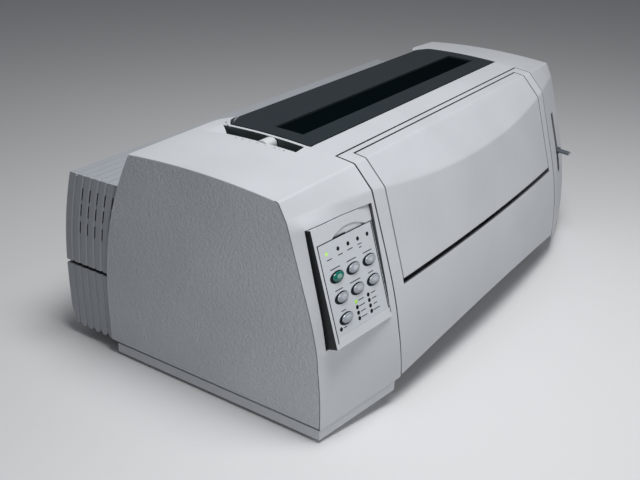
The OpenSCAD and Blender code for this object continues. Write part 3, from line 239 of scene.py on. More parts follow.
def dressed(node, materials, edge, zone=None, reshape=None, slot=None):
    """The node's own solid with its doubles merged, its flat faces made whole and its edges rounded. Where it
    has several materials, zone gives the number of each face's from its centre and normal on the datum.
    reshape may change the solid first. The slot is named as the first material where no other is given."""
    welded = bmesh.new()
    welded.from_mesh(frame["nodes"][node].data)
    bmesh.ops.remove_doubles(welded, verts=welded.verts, dist=2e-6)
    bmesh.ops.dissolve_limit(welded, angle_limit=math.radians(0.5), verts=welded.verts, edges=welded.edges)
    if reshape:
        reshape(welded)
    mesh = bpy.data.meshes.new(node + ".finished")
    welded.to_mesh(mesh)
    welded.free()
    piece = placed(node + ".finished", mesh)
    materials = materials if isinstance(materials, tuple) else (materials,)
    for material in materials:
        mesh.materials.append(material)
    bevelled(piece, edge)
    if zone:
        faces = piece.data.polygons
        centres, normals = np.empty(3 * len(faces)), np.empty(3 * len(faces))
        faces.foreach_get("center", centres)
        faces.foreach_get("normal", normals)
        number = zone((centres.reshape(-1, 3) - datum) * 1000, normals.reshape(-1, 3))
        faces.foreach_set("material_index", np.asarray(number, dtype=np.int32))
    # the frame has used some of these names already, and Blender then adds a number after a dot
    handed_over(piece, body_of[node], slot or materials[0].name.split(".")[0], node)


casing_plastic = grained("casing_plastic", pale, 0.5, 0.0011, 0.55)
foot_rubber = grained("foot_rubber", (0.03, 0.03, 0.032), 0.8, 0.0008, 0.4)
half_width = 295.0
arch_run, arch_rise = 95.0, 13.5


def foot_arch(x):
    """How much higher the front's lower edges are than at the side panels: they rise evenly inwards."""
    return arch_rise * np.clip((half_width - np.abs(x)) / arch_run, 0, 1)


def everything(mesh):
    """All that a cut may divide."""
    return list(mesh.verts) + list(mesh.edges) + list(mesh.faces)


def arch_pan(mesh):
    """Lifts the front of the pan under the columns, so that its lower edge rises inwards: fully at its front
    edge, and less and less up to the depth where the lift stops."""
    lift_stop, lift_run, clear_of_cover = 12.0, 14.0, 196.0
    home = Vector(datum.tolist())
    bmesh.ops.bisect_plane(mesh, geom=everything(mesh), dist=1e-6,
        plane_co=home + Vector((0, lift_stop / 1000, 0)), plane_no=(0, 1, 0))
    for vert in mesh.verts:
        at = (vert.co - home) * 1000
        lift = min(1.0, max(0.0, (lift_stop - at.y) / lift_run)) * float(foot_arch(at.x))
        if abs(at.x) > clear_of_cover and lift > 0:
            vert.co.z += lift / 1000


dressed("base_pan", casing_plastic, 0.4, reshape=arch_pan)
dressed("feet", foot_rubber, 0.5)

# === Circuit boards ===================================================
# Two boards stand on posts of the base pan: green fibreglass with a solder mask over its tracks,
# black moulded chips and connectors, and on the supply board a transformer and two capacitors.
board_top = 27.8


def circuit(name, colour):
    """Solder mask over copper tracks: a grid of rounded cells whose borders stand up as tracks, a little
    lighter than the mask."""
    material, tree, shader = begun(name, Roughness=0.3)
    tracks = textured(tree, "ShaderNodeTexVoronoi", feature="DISTANCE_TO_EDGE", distance="MANHATTAN",
        Scale=220.0)
    coloured_by(tree, tracks.outputs["Distance"], shader, ([c * 2.2 for c in colour], colour), (0.06, 0.12))
    raised_by(tree, tracks.outputs["Distance"], shader, 0.3, 0.0001, invert=True)
    return material


board_green = circuit("circuit_board", (0.012, 0.075, 0.035))
chip_black = grained("chip_black", (0.02, 0.02, 0.022), 0.42, 0.0006, 0.4)
for node, edge in (("logic_board", 0.2), ("power_supply", 0.3)):
    dressed(node, (board_green, chip_black), edge, lambda at, facing: at[:, 2] > board_top)

# === Sockets and switch ===============================================
# The mains inlet, the rocker switch and the data connector look out of the rear cover. They are
# glossy black mouldings, and the data connector has a plated steel shell.
black_plastic = grained("black_plastic", (0.02, 0.021, 0.023), 0.34, 0.0009, 0.35)
plated_steel = grained("plated_steel", (0.56, 0.57, 0.58), 0.3, 0.0009, 0.2, metal=1.0)
for node in ("power_inlet", "power_switch"):
    dressed(node, black_plastic, 0.4)
dressed("data_connector", plated_steel, 0.4, slot="contact_metal")

# === Side frames and front rail =======================================
# Two folded sheet-steel side frames are screwed to the base pan, and a folded rail ties them at
# the front. The sheet is zinc plated, with the flat grey spangle that the plating leaves.
def zinc(name):
    """Zinc-plated sheet: a metal whose cells of spangle differ a little in colour and in roughness."""
    material, tree, shader = begun(name, Metallic=0.9)
    spangle = textured(tree, "ShaderNodeTexVoronoi", Scale=130.0, Randomness=1.0)
    grey = socketed(tree, "ShaderNodeRGBToBW")
    tree.links.new(spangle.outputs["Color"], grey.inputs["Color"])
    coloured_by(tree, grey.outputs["Val"], shader, ((0.40, 0.41, 0.42), (0.56, 0.57, 0.58)))
    roughened_by(tree, grey.outputs["Val"], shader, (0.34, 0.5))
    return material


def turned(name, colour, rough, axis, pitch=0.0004):
    """Bright steel turned on a lathe: fine rings round that axis, as a wave that lifts the surface."""
    material, tree, shader = begun(name, Base_Color=(*colour, 1), Roughness=rough, Metallic=1.0)
    rings = textured(tree, "ShaderNodeTexWave", bands_direction=axis, Scale=0.31 / pitch, Distortion=1.2)
    raised_by(tree, rings.outputs["Fac"], shader, 0.12, 0.00004)
    return material


sheet_steel = zinc("sheet_steel")
shaft_steel = turned("turned_steel", (0.62, 0.63, 0.64), 0.24, "X")
for node in ("left_frame", "right_frame", "front_rail"):
    dressed(node, sheet_steel, 0.25)
dressed("frame_screws", turned("screw_steel", (0.55, 0.55, 0.53), 0.3, "Z"), 0.3, slot="turned_steel")

# === Platen and paper guide ===========================================
# The platen is a ground rubber roller on a steel shaft, in two nylon bushes. A thin black guide
# wraps the paper round it, and a saw-toothed bar behind it tears the paper off.
platen_rubber = grained("platen_rubber", (0.022, 0.022, 0.024), 0.62, 0.0005, 0.5)
nylon = grained("natural_nylon", (0.72, 0.71, 0.66), 0.42, 0.0016, 0.25)
charcoal_plastic = grained("charcoal_plastic", (0.026, 0.033, 0.040), 0.5, 0.0011, 0.6)
dressed("platen", platen_rubber, 0.5)
dressed("platen_shaft", shaft_steel, 0.4)
dressed("platen_bushes", nylon, 0.3)
dressed("paper_guide", charcoal_plastic, 0.2)
dressed("tear_bar", charcoal_plastic, 0.2)
dressed("platen_knob", charcoal_plastic, 0.6)

# === Gear train and feed motor ========================================
# A stepper motor on the right frame drives a pinion, an idler, the platen's gear and the
# tractors' gear. The gears are moulded in natural nylon, with involute teeth.
motor_can = grained("motor_can", (0.34, 0.35, 0.36), 0.38, 0.0008, 0.25, metal=0.9)
motor_end = grained("motor_end", (0.04, 0.04, 0.043), 0.5, 0.0008, 0.3)
motor_cap = 6.0
feed_motor_end = (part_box("feed_motor")[0].x - datum[0]) * 1000 + motor_cap
dressed("feed_motor", (motor_can, motor_end), 0.6, lambda at, facing: at[:, 0] < feed_motor_end,
    slot="motor_metal")
for node in ("feed_pinion", "idler_gear", "platen_gear", "tractor_gear"):
    dressed(node, nylon, 0.15)

# === Paper tractors ===================================================
# Two tractors slide on a round rod and turn on a square shaft. Each has two charcoal cheeks, a
# nylon sprocket whose pins fit the paper's holes, and a door that holds the paper down.
dressed("tractor_shaft", shaft_steel, 0.3)
dressed("tractor_rod", shaft_steel, 0.4)
for side in ("left", "right"):
    dressed(side + "_tractor", charcoal_plastic, 0.4)
    dressed(side + "_sprocket", nylon, 0.3)
    dressed(side + "_tractor_door", charcoal_plastic, 0.3)

# === Carriage =========================================================
# The carriage slides on a ground steel shaft and carries the finned print head and, above it, the
# ribbon cartridge. A toothed belt between two pulleys draws it along, driven by a second stepper.
ground_steel = turned("ground_steel", (0.68, 0.69, 0.70), 0.14, "X", 0.0002)
dressed("guide_shaft", ground_steel, 0.4, slot="turned_steel")
dressed("carriage", charcoal_plastic, 0.5)
head_metal = grained("head_metal", (0.22, 0.225, 0.235), 0.46, 0.0012, 0.5, metal=0.8)
nose_metal = grained("nose_metal", (0.55, 0.55, 0.56), 0.3, 0.0012, 0.2, metal=1.0)
nose_from = 124.2
dressed("print_head", (head_metal, nose_metal), 0.4, lambda at, facing: at[:, 1] > nose_from)
dressed("ribbon_cartridge", black_plastic, 0.8)
belt_rubber = grained("belt_rubber", (0.018, 0.018, 0.019), 0.7, 0.0006, 0.5)
dressed("carriage_belt", belt_rubber, 0.15)
for node in ("motor_pulley", "idler_pulley"):
    dressed(node, nylon, 0.2)
belt_motor_end = (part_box("carriage_motor")[0].z - datum[2]) * 1000 + motor_cap
dressed("carriage_motor", (motor_can, motor_end), 0.6, lambda at, facing: at[:, 2] < belt_motor_end,
    slot="motor_metal")

# === Casing ===========================================================
# One large moulding: two flat side panels with a coarse pebbled grain, two columns that sweep
# forward to the front cover, and the frame round the ribbon lid. All its sheets are 3 mm thick.
cover_half = 200.0
upright, lean_from, front_radius, front_lean = 25.0, 130.0, 376.0, 0.29
kink_station, crease_station, top_length = 203.0, 228.0, 176.0
crease_depth, crease_slope = 31.0, 1.094
side_front, side_back, side_rise = np.array([44.3, 218.9]), np.array([213.8, 223.8]), 4.4
casing_wall, seam, panel_edge = 3.0, 1.7, 0.9


def arc(reach, radius):
    """How far a circle has left its tangent after that reach."""
    return radius - np.sqrt(radius ** 2 - np.square(reach))


def front_depth(z):
    """Depth of a side panel's front edge: upright, then an arc, then a straight lean."""
    return (arc(np.clip(z - upright, 0, lean_from - upright), front_radius)
        + front_lean * np.clip(z - lean_from, 0, None))


def crown(y):
    """Height of the top over its depth: a shallow parabola, highest over its middle."""
    highest, middle, spread_out = 237, 150, 1460
    return highest - np.square(y - middle) / spread_out


def bow(x):
    """How far the front stands out before the side panels' edge, between the columns: a parabola."""
    deepest, fall = 34, 9
    return deepest - fall * np.square(x / cover_half)


def middle_section(x, s):
    """Depth and height at station s between the columns. Stations count millimetres up the front,
    across the slanted face and back over the top."""
    kink = (crease_depth - crown(crease_depth) / crease_slope - arc(lean_from - upright, front_radius)
        + front_lean * lean_from + bow(x)) / (front_lean - 1 / crease_slope)
    z = np.where(s < lean_from, s,
        lean_from + (s - lean_from) * (kink - lean_from) / (kink_station - lean_from))
    t = np.clip((s - kink_station) / (crease_station - kink_station), 0, 1)
    kink_depth = front_depth(kink) - bow(x)
    top = crease_depth + np.clip(s - crease_station, 0, None)
    depth = np.where(s < kink_station, front_depth(z) - bow(x),
        np.where(s < crease_station, kink_depth * (1 - t) + crease_depth * t, top))
    height = np.where(s < kink_station, z, np.where(s < crease_station,
        kink * (1 - t) + crown(crease_depth) * t, crown(top)))
    return depth, height


def side_section(s):
    """Depth and height of a side panel's outline at station s."""
    t = np.clip((s - kink_station) / (crease_station - kink_station), 0, 1)
    k = np.clip((s - crease_station) / top_length, 0, 1)
    depth = np.where(s < kink_station, front_depth(s), np.where(s < crease_station,
        front_depth(kink_station) * (1 - t) + side_front[0] * t, side_front[0] * (1 - k) + side_back[0] * k))
    height = np.where(s < kink_station, s, np.where(s < crease_station,
        kink_station * (1 - t) + side_front[1] * t,
        side_front[1] * (1 - k) + side_back[1] * k + 4 * side_rise * k * (1 - k)))
    return depth, height


def skin(x, s, soften=1.5):
    """Points of the printer's outer form in millimetres: the middle's section as far as the columns,
    from there a ruled sheet to the side panel's outline. Creases are averaged over a few millimetres."""
    x, s = np.broadcast_arrays(np.asarray(x, float), np.asarray(s, float))
    out = np.clip((np.abs(x) - cover_half) / (half_width - cover_half), 0, 1)
    total = 0
    for shift, share in ((-1, 0.2), (-0.4, 0.3), (0.4, 0.3), (1, 0.2)):
        at = s + shift * soften
        middle, side = middle_section(np.clip(x, -cover_half, cover_half), at), side_section(at)
        total = total + share * np.stack([middle[0] * (1 - out) + side[0] * out,
            middle[1] * (1 - out) + side[1] * out])
    return np.stack([x, total[0], total[1]], axis=-1)


def spread(*stops):
    """Even steps between each stop and the next, as (stop, steps, stop, steps, ..., stop)."""
    parts = [np.linspace(a, b, n, endpoint=False) for a, n, b in zip(stops[::2], stops[1::2], stops[2::2])]
    return np.concatenate(parts + [[stops[-1]]])


def station_back(x, y):
    """Station on the top at which the skin has that depth."""
    out = np.clip((np.abs(x) - cover_half) / (half_width - cover_half), 0, 1)
    start = crease_depth * (1 - out) + side_front[0] * out
    length = top_length * (1 - out) + (side_back[0] - side_front[0]) * out
    return crease_station + (y - start) / length * top_length


def quads(rows, columns, keep=None):
    """Corner numbers of the cells of a grid, outwards where rows run up and columns to +X."""
    corner = (np.arange(rows - 1)[:, None] * columns + np.arange(columns - 1)).ravel()
    faces = np.stack([corner, corner + 1, corner + 1 + columns, corner + columns], axis=-1)
    return faces if keep is None else faces[np.asarray(keep).ravel()]


panel_origin = np.array([-206.6, 8.6, 180.3])
yaw, tilt = math.radians(6), math.radians(72.5)
panel_axes = np.array([[math.cos(yaw), -math.sin(yaw), 0],
    [math.sin(yaw) * math.cos(tilt), math.cos(yaw) * math.cos(tilt), math.sin(tilt)],
    [-math.sin(tilt) * math.sin(yaw), -math.sin(tilt) * math.cos(yaw), math.cos(tilt)]])
panel_hole = ((-79.1, 2.1), (-91.3, 16.1))


def beside_panel(points):
    """The sheet drawn up beside the panel's dark channel: a soft rise between the side panel's edge and the
    channel, that fades above, below and to the right of the panel. Each soft step has its start and length,
    across or up the panel."""
    across, along, out = np.moveaxis((points - panel_origin) @ panel_axes.T, -1, 0)

    def soft(value, start, length):
        value = np.clip((value - start) / length, 0, 1)
        return value * value * (3 - 2 * value)

    share = (soft(across, -91.5, 12.5) * (1 - soft(across, -72, 45))
        * soft(-along, -30, 13) * soft(along, -108, 16))
    amount = np.interp(along, [-91, 16], [3.2, 5.0]) * share
    return points + np.where(points[..., 0] < 0, amount, 0)[..., None] * panel_axes[2]


def cut_for_panel(mesh):
    """Cuts the sheet along the four sides of the operator panel's opening and takes out what lies inside."""
    reach, margin = 33, 12
    home = Vector((panel_origin / 1000 + datum).tolist())
    axes = [Vector(axis.tolist()) for axis in panel_axes]

    def near(face, slack):
        away = (face.calc_center_median() - home) * 1000
        return abs(away.dot(axes[2])) < reach and all(low - slack < away.dot(axis) < high + slack
            for axis, (low, high) in zip(axes, panel_hole))

    for axis, ends in zip(axes, panel_hole):
        for end in ends:
            faces = [face for face in mesh.faces if near(face, margin)]
            region = faces + list({edge for face in faces for edge in face.edges})
            region += list({vert for face in faces for vert in face.verts})
            bmesh.ops.bisect_plane(mesh, geom=region, dist=1e-4, plane_co=home + axis * (end / 1000),
                plane_no=axis)
    bmesh.ops.delete(mesh, geom=[face for face in mesh.faces if near(face, 0)], context="FACES")


def built(name, points, faces, finishes, materials, near=2e-5, cut=None):
    """A piece from points in millimetres on the datum, with a material number for each face. Points nearer
    than near metres become one, cut may change the mesh, and points without a face go."""
    mesh = bpy.data.meshes.new(name)
    mesh.from_pydata(np.reshape(points, (-1, 3)) / 1000 + datum, [], faces)
    mesh.polygons.foreach_set("material_index", np.asarray(finishes, np.int32))
    for material in materials:
        mesh.materials.append(material)
    merged = bmesh.new()
    merged.from_mesh(mesh)
    bmesh.ops.remove_doubles(merged, verts=merged.verts, dist=near)
    if cut:
        cut(merged)
    bmesh.ops.delete(merged, geom=[v for v in merged.verts if not v.link_faces], context="VERTS")
    merged.to_mesh(mesh)
    merged.free()
    return placed(name, mesh)


def sheet_piece(name, patches, thickness, edge, materials, cut=None, even=True):
    """One piece from grids of points in millimetres, each with its cells to keep and a material number.
    Their shared edges are merged, a wall is added inwards, and the edges are rounded."""
    points, faces, finishes, count = [], [], [], 0
    for grid, keep, finish in patches:
        rows, columns = grid.shape[:2]
        cells = quads(rows, columns, keep)
        points.append(grid.reshape(-1, 3))
        faces.append(cells + count)
        finishes.append(np.full(len(cells), finish))
        count += rows * columns
    piece = built(name, np.concatenate(points), np.concatenate(faces), np.concatenate(finishes), materials,
        cut=cut)
    wall = piece.modifiers.new("wall", "SOLIDIFY")
    wall.thickness = thickness / 1000
    wall.offset = -1
    wall.use_even_offset = even
    # the rims take the last material: on the casing and the front cover it is a dark painted shade in the seams
    # and at cut edges
    wall.material_offset_rim = len(materials) - 1
    return bevelled(piece, edge)


def cover_side(s):
    """Half width of the front cover at a station."""
    return np.interp(s, [25, 80, 150, 206, 300], [195, 198, 198.5, 200, 200])


def rear_edge(z):
    """Depth of a side panel's rear edge: upright below, then an arc that runs forward as it rises."""
    depth, bend, radius = 260, 50, 350
    return depth - arc(np.clip(z - bend, 0, None), radius)


pan_top, lift_top, lift_gap = 10.4, 74.0, 0.4
lid_half, lid_front, lid_back = 200.6, 78.9, 181.0
chamfer_x, chamfer_y = 24.6, 11.0
cover_back = 49.7
trench_front, trench_end, trench_tip, scoop_end = 82.0, 158.0, 176.5, 176.0
trench_in, trench_lip = 205.4, 0.15
scoop_back, scoop_skew, scoop_deep, scoop_round = 179.5, 4.5, 7.0, 0.6
shoulder, wall_foot, wall_meet, side_seam = 190.0, 188.0, 150.0, 1.8
slot_x, slot_z = (242.0, 258.0), (92.0, 166.0)
# numbers of the casing grid's columns at the trench's edges, and of its rows at the slot
hole_in, hole_lip, hole_out, hole_past = 4, 12, 13, 19
slot_row, slot_rows, trench_rows = 15, 18, 24


def trench_out(y):
    """Distance of the trench's outer edge from the middle, on to the tip of the scoop behind it."""
    return np.interp(y, [trench_front, trench_end, 184], [218, 221, 225])


def end_of_trench(share):
    """Depth at which the trench ends, that share of the way across it: a curve back to its inner edge."""
    return trench_tip - (trench_tip - trench_end) * share ** 0.8


def casing_side(sign):
    """Grid of one column with the top behind it: rows run from the base pan up, over the crease and back to
    the shoulder's rear edge, columns from the front cover and lid out to the side panel. Returns x, stations,
    the number of the first row on the top, how far the scoop lowers each point, and the opening's cells."""
    stations = spread(pan_top, 12, lift_top, 3, slot_z[0], slot_rows, slot_z[1], 5, 190, 4, 200, 6, 206, 5,
        225, 6, 231)
    share = spread(0, 5, 1)[1:]
    strip = spread(cover_back + seam, 7, lid_front - seam)
    back = spread(trench_front, trench_rows, trench_end, 5, lid_back - chamfer_y)
    tail = spread(0, 8, 1)[1:]
    inner = np.concatenate([cover_side(stations) + seam,
        np.full(len(share) - 1 + len(strip), cover_half + seam),
        np.full(len(back), lid_half + seam), lid_half + seam - chamfer_x * tail])
    first, top = len(stations), len(stations) + len(share) - 1
    y = np.concatenate([np.full(top, trench_front), strip, back, back[-1] + (shoulder - back[-1]) * tail])
    near, far = (trench_in, trench_out(y)) if sign < 0 else slot_x
    near, far, outer = (np.broadcast_to(x, y.shape) for x in (near, far, half_width - panel_edge))
    steps = ((near, hole_in), (far - trench_lip, hole_lip - hole_in), (far, 1),
        (far + 8, hole_past - hole_out), (outer, 13))
    parts, start = [], inner
    for stop, count in steps:
        parts.append(start[:, None] + (stop - start)[:, None] * np.linspace(0, 1, count, endpoint=False))
        start = stop
    x = np.concatenate(parts + [start[:, None]], axis=1)
    # rows of the top, drawn along the slanted end of the trench and the rear edge of the scoop
    depth = np.repeat(y[:, None], x.shape[1], axis=1)
    lowered = np.zeros_like(x)
    column = np.arange(x.shape[1])
    if sign < 0:
        over = np.clip((column - hole_in) / (hole_lip - hole_in), 0, 1)
        pull = np.interp(column, [0, hole_in, hole_out, hole_past], [0, 1, 1, 0])
        behind = y[:, None]
        end, rear = end_of_trench(over), scoop_back + scoop_skew * over
        along = trench_front + (behind - trench_front) * (end - trench_front) / (trench_end - trench_front)
        scooped = end + (behind - trench_end) * (rear - end) / (scoop_end - trench_end)
        past = rear + (behind - scoop_end) * (shoulder - rear) / (shoulder - scoop_end)
        drawn = np.where(behind < trench_front, behind,
            np.where(behind < trench_end, along, np.where(behind < scoop_end, scooped, past)))
        depth = depth + (drawn - depth) * pull
        run = np.clip((behind - trench_end) / (scoop_end - trench_end), 0, 1)
        inside = (column >= hole_in) & (column <= hole_lip) & (behind >= trench_end - 1e-6)
        lowered = np.where(inside, scoop_deep * over ** scoop_round * (1 - run) ** 1.5, 0)
    s = np.empty_like(x)
    lift = np.clip((lift_top - stations) / (lift_top - pan_top), 0, 1)[:, None]
    s[:first] = stations[:, None] + (foot_arch(x[:first]) + lift_gap) * lift
    s[first:top] = stations[-1] + (station_back(x[first:top], strip[0]) - stations[-1]) * share[:-1, None]
    s[top:] = station_back(x[top:], depth[top:])
    end = slice(-len(tail), None)
    rim = np.interp(x[end], [lid_half - chamfer_x, 190, half_width], [lid_back, shoulder, side_back[0]])
    s[end] = station_back(x[end], depth[end] + (rim - shoulder) * tail[:, None])
    begin, length = (top + len(strip), trench_rows) if sign < 0 else (slot_row, slot_rows)
    opening = np.zeros((len(x) - 1, x.shape[1] - 1), bool)
    opening[begin:begin + length, hole_in:hole_out] = True
    return x, s, first, lowered, opening


def mirrored(patches):
    """The same sheets on the printer's other side."""
    return [(grid[:, ::-1] * [-1, 1, 1], None if keep is None else keep[:, ::-1], finish)
        for grid, keep, finish in patches]


def casing_patches():
    """The casing's sheets: both columns with their rounded edges, side panels and rear walls, and the strip
    in front of the lid."""
    patches = []
    for sign in (-1, 1):
        x, s, first, lowered, opening = casing_side(sign)
        grid = skin(x, s)
        grid[..., 2] -= lowered
        if sign < 0:
            grid = beside_panel(grid * [-1, 1, 1]) * [-1, 1, 1]
        rows = len(x)
        outline = grid[:, -1]
        tangent = np.gradient(outline[:, 1:], axis=0)
        normal = np.stack([-tangent[:, 1], tangent[:, 0]], axis=-1)
        normal /= np.linalg.norm(normal, axis=-1, keepdims=True)
        turn = np.radians(spread(0, 5, 90))
        edge = np.empty((rows, len(turn), 3))
        edge[..., 0] = half_width - panel_edge + panel_edge * np.sin(turn)
        edge[..., 1:] = (outline[:, None, 1:]
            - normal[:, None] * (panel_edge * (1 - np.cos(turn)))[None, :, None])
        edge[0, :, 2] += side_seam * np.sin(turn)
        front = edge[:, -1]
        rear_z = np.linspace(front[0, 2], front[-1, 2], rows)
        rear = np.stack([np.full(rows, half_width), rear_edge(rear_z), rear_z], axis=-1)
        rear[:, 1] += ((front[-1, 1] - rear[-1, 1])
            * np.clip((rear_z - wall_meet) / (rear_z[-1] - wall_meet), 0, 1))
        across = np.linspace(0, 1, 13)[None, :, None]
        panel = front[:, None] * (1 - across) + rear[:, None] * across
        down = np.linspace(0, 1, 8)[:, None, None]
        wall = np.repeat(grid[-1:], 8, axis=0)
        wall[..., 2:] += (wall_foot - wall[..., 2:]) * down
        # the outer faces of each side panel's rounded front edge, below the top, get a dark line of painted
        # shade
        shaded = (np.arange(rows - 1)[:, None] < first) & (np.arange(5)[None] > 1)
        column = [(grid, ~opening, 0), (edge, ~shaded, 0), (edge, shaded, 2), (panel, None, 1),
            (wall, None, 0)]
        patches += mirrored(column) if sign < 0 else column
    depth = spread(cover_back + seam, 7, lid_front - seam)[:, None]
    across = spread(-cover_half - seam, 60, cover_half + seam)[None]
    patches.append((skin(across, station_back(across, depth)), None, 0))
    return patches


side_plastic = grained("side_plastic", pale_side, 0.55, 0.0015, 1.0, fuzz=0.12, relief=0.75)
# painted shade: a dark grey for the side panels' front edge line and for the walls of seams and cut edges
painted_shade_plastic = grained("painted_shade_plastic", (0.13, 0.14, 0.155), 0.55, 0.0011, 0.4)
casing = sheet_piece("upper_casing.finished", casing_patches(), casing_wall, 0.4,
    [casing_plastic, side_plastic, painted_shade_plastic], cut_for_panel, False)
handed_over(casing, "chassis", "casing_plastic", "upper_casing")

# === Rear covers ======================================================
# The tractor cover and the rear cover under it are ribbed mouldings in the casing's plastic, coloured
# darker here as painted shade. Six grooves run up each side of the tractor cover, bowed like its back,
# with three vents in each of the front five.
# painted shade: the casing's plastic, darkened to copy the shade on the rear covers
rear_plastic_painted_shade = grained("rear_plastic_painted_shade", (0.40, 0.425, 0.46), 0.55, 0.0011, 0.5)
rear_half, rear_low, rear_top, side_cut, side_wall = 291.0, 86.0, 186.5, 288.2, 2.4
back_bend, back_radius = 60.0, 390.0
grooves, groove_front, groove_pitch, groove_deep = 6, 239.1, 10.4, 1.2
groove_across = np.array([-1.7, -1.3, -0.95, 0.95, 1.3, 1.7])
groove_sunk = np.array([0, 0.4, 1, 1, 0.4, 0]) * groove_deep
vents, vent_tall = (120, 140, 158), 14


def take_sides_off(mesh):
    """Cuts off the outer skin of both sides, which is drawn again with grooves that follow the bowed back."""
    for sign in (-1, 1):
        bmesh.ops.bisect_plane(mesh, geom=everything(mesh), dist=1e-6, clear_outer=True,
            plane_co=Vector((sign * side_cut / 1000, 0, 0)) + Vector(datum.tolist()), plane_no=(sign, 0, 0))


def rear_face(z):
    """Depth of the back at a height: upright below, and an arc that runs forward as it rises."""
    return back_plane - arc(np.clip(z - back_bend, 0, None), back_radius)


def ribbed_side():
    """Grid of one side: columns keep their distance from the back, so that the grooves bow with it, and the
    front one closes at the top. Returns the points and the cells to keep, without those of the vents."""
    (a, b, c), width = vents, len(groove_across)
    z = spread(rear_low, 8, a, 3, a + vent_tall, 2, b, 3, b + vent_tall, 1, c, 3, c + vent_tall, 4, 185, 2,
        rear_top)[:, None]
    middles = groove_front + groove_pitch * np.arange(grooves)
    y = (middles[:, None] + groove_across).reshape(1, -1) + rear_face(z) - rear_face(rear_top)
    y = np.concatenate([rear_edge(z) - 6, y, rear_face(z)], axis=1)
    sunk = np.concatenate([[0], np.tile(groove_sunk, grooves), [0]])[None] + 0 * y
    sunk[-1, :1 + width] = 0
    keep = np.ones((len(z) - 1, y.shape[1] - 1), bool)
    for low in vents:
        rows = (z[:-1, 0] > low - 0.1) & (z[1:, 0] < low + vent_tall + 0.1)
        keep[np.ix_(rows, 3 + width * np.arange(grooves - 1))] = False
    return np.stack([rear_half - sunk, y, np.minimum(z, rear_top - sunk)], axis=-1), keep


side, keep = ribbed_side()
back = np.stack([side[:, -1], side[:, -1] * [0, 1, 1] + [side_cut, 0, 0]], axis=1)
top = np.stack([side[-1], side[-1] * [0, 1, 1] + [side_cut, 0, 0]])
patches = [(side, keep, 0), (back, None, 0), (top, None, 0)]
sides = sheet_piece("tractor_cover_sides", patches + mirrored(patches), side_wall, 0.2, [rear_plastic_painted_shade],
    even=False)
handed_over(sides, "tractor_cover", "casing_plastic")
dressed("tractor_cover", rear_plastic_painted_shade, 0.5, reshape=take_sides_off, slot="casing_plastic")
dressed("rear_cover", rear_plastic_painted_shade, 0.5, slot="casing_plastic")

# === Trench for the gap lever =========================================
# A channel lies in the left column beside the lid, lined with a dark sheet that paints the shade in it, and the
# gap lever's knob slides in it.
# Eight small marks are printed along its outer edge.
trench_wall, trench_deep = 1.2, 22.0
share = np.linspace(0, 1, 9)[1:]
inner, outer = spread(trench_front, 19, trench_tip), spread(trench_end, 16, trench_front)[1:]
end = end_of_trench(share)
closing = spread(trench_out(trench_front), 4, trench_in)[1:]
route = np.concatenate([np.stack(pair, axis=-1) for pair in ((np.full(len(inner), trench_in), inner),
    (trench_in + (trench_out(end) - trench_in) * share, end), (trench_out(outer), outer),
    (closing, np.full(len(closing), trench_front)))])
rim = skin(route[:, 0], station_back(route[:, 0], route[:, 1]))
scooped = np.concatenate([np.zeros(len(inner)), scoop_deep * share ** scoop_round,
    np.zeros(len(outer) + len(closing))])
fall = spread(0, 6, 1)[:, None]
walls = np.repeat(rim[None], len(fall), axis=0)
walls[..., 2] -= 0.6 + scooped + (trench_deep - scooped) * fall
walls[..., 0] *= -1
# painted shade: the trench's walls are the casing's pale plastic, coloured dark here for the shade in them
trench_painted_shade = grained("trench_painted_shade", (0.085, 0.112, 0.118), 0.5, 0.0011, 0.4)
trench = sheet_piece("trench_shade_liner", [(walls, None, 0)], trench_wall, 0.2, [trench_painted_shade], even=False)
handed_over(trench, "chassis", "charcoal_plastic")
# ink for print, and also for the painted shadow rings round the keys
ink_and_painted_shadow = grained("ink_and_painted_shadow", (0.020, 0.026, 0.031), 0.6, 0.0008, 0.2, shine=0.05)


def turned_out(mesh):
    """Makes every face of closed shapes point outwards."""
    bmesh.ops.recalc_face_normals(mesh, faces=mesh.faces)


def printed(name, middles, along, across, facing, proud=0.03):
    """Small flat bars of print: each is a box with its middle, half length and half width as vectors in
    millimetres, sunk into the surface so that it stands proud by a few hundredths."""
    thick = 0.12
    bars = np.broadcast_arrays(middles, along, across, facing)
    middles, along, across, facing = (np.atleast_2d(bar)[:, None] for bar in bars)
    corners = np.array([(x, y, z) for z in (0, 1) for x, y in ((-1, -1), (1, -1), (1, 1), (-1, 1))])[None]
    points = (middles + along * corners[..., :1] + across * corners[..., 1:2]
        + facing * (proud - thick + thick * corners[..., 2:]))
    sides = np.array([(3, 2, 1, 0), (4, 5, 6, 7), (0, 1, 5, 4), (1, 2, 6, 5), (2, 3, 7, 6), (3, 0, 4, 7)])
    faces = (sides[None] + 8 * np.arange(len(middles))[:, None, None]).reshape(-1, 4)
    piece = built(name, points, faces, np.zeros(len(faces)), [ink_and_painted_shadow], 1e-9, turned_out)
    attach(piece, "chassis")


marks_y = np.array([146, 138.5, 130, 122, 113, 103, 98, 93.0])
marks_x = trench_out(marks_y) + 3.4
marks = skin(marks_x, station_back(marks_x, marks_y)) * [-1, 1, 1]
mark_half = np.where(np.arange(len(marks)) % 2, 1.5, 0.9)[:, None]
printed("trench_marks", marks, [0, 1, 0] * mark_half, [0.35, 0, 0], [0, 0, 1])
tick_x, tick_y = np.array([198.0, 204.8]), np.array([179.5, 170.5])
tick = skin(tick_x, station_back(tick_x, tick_y)) * [-1, 1, 1]
printed("lid_tick", tick.mean(axis=0), (tick[1] - tick[0]) / 2, [0.9, 0, 0], [0, 0, 1], 0.06)

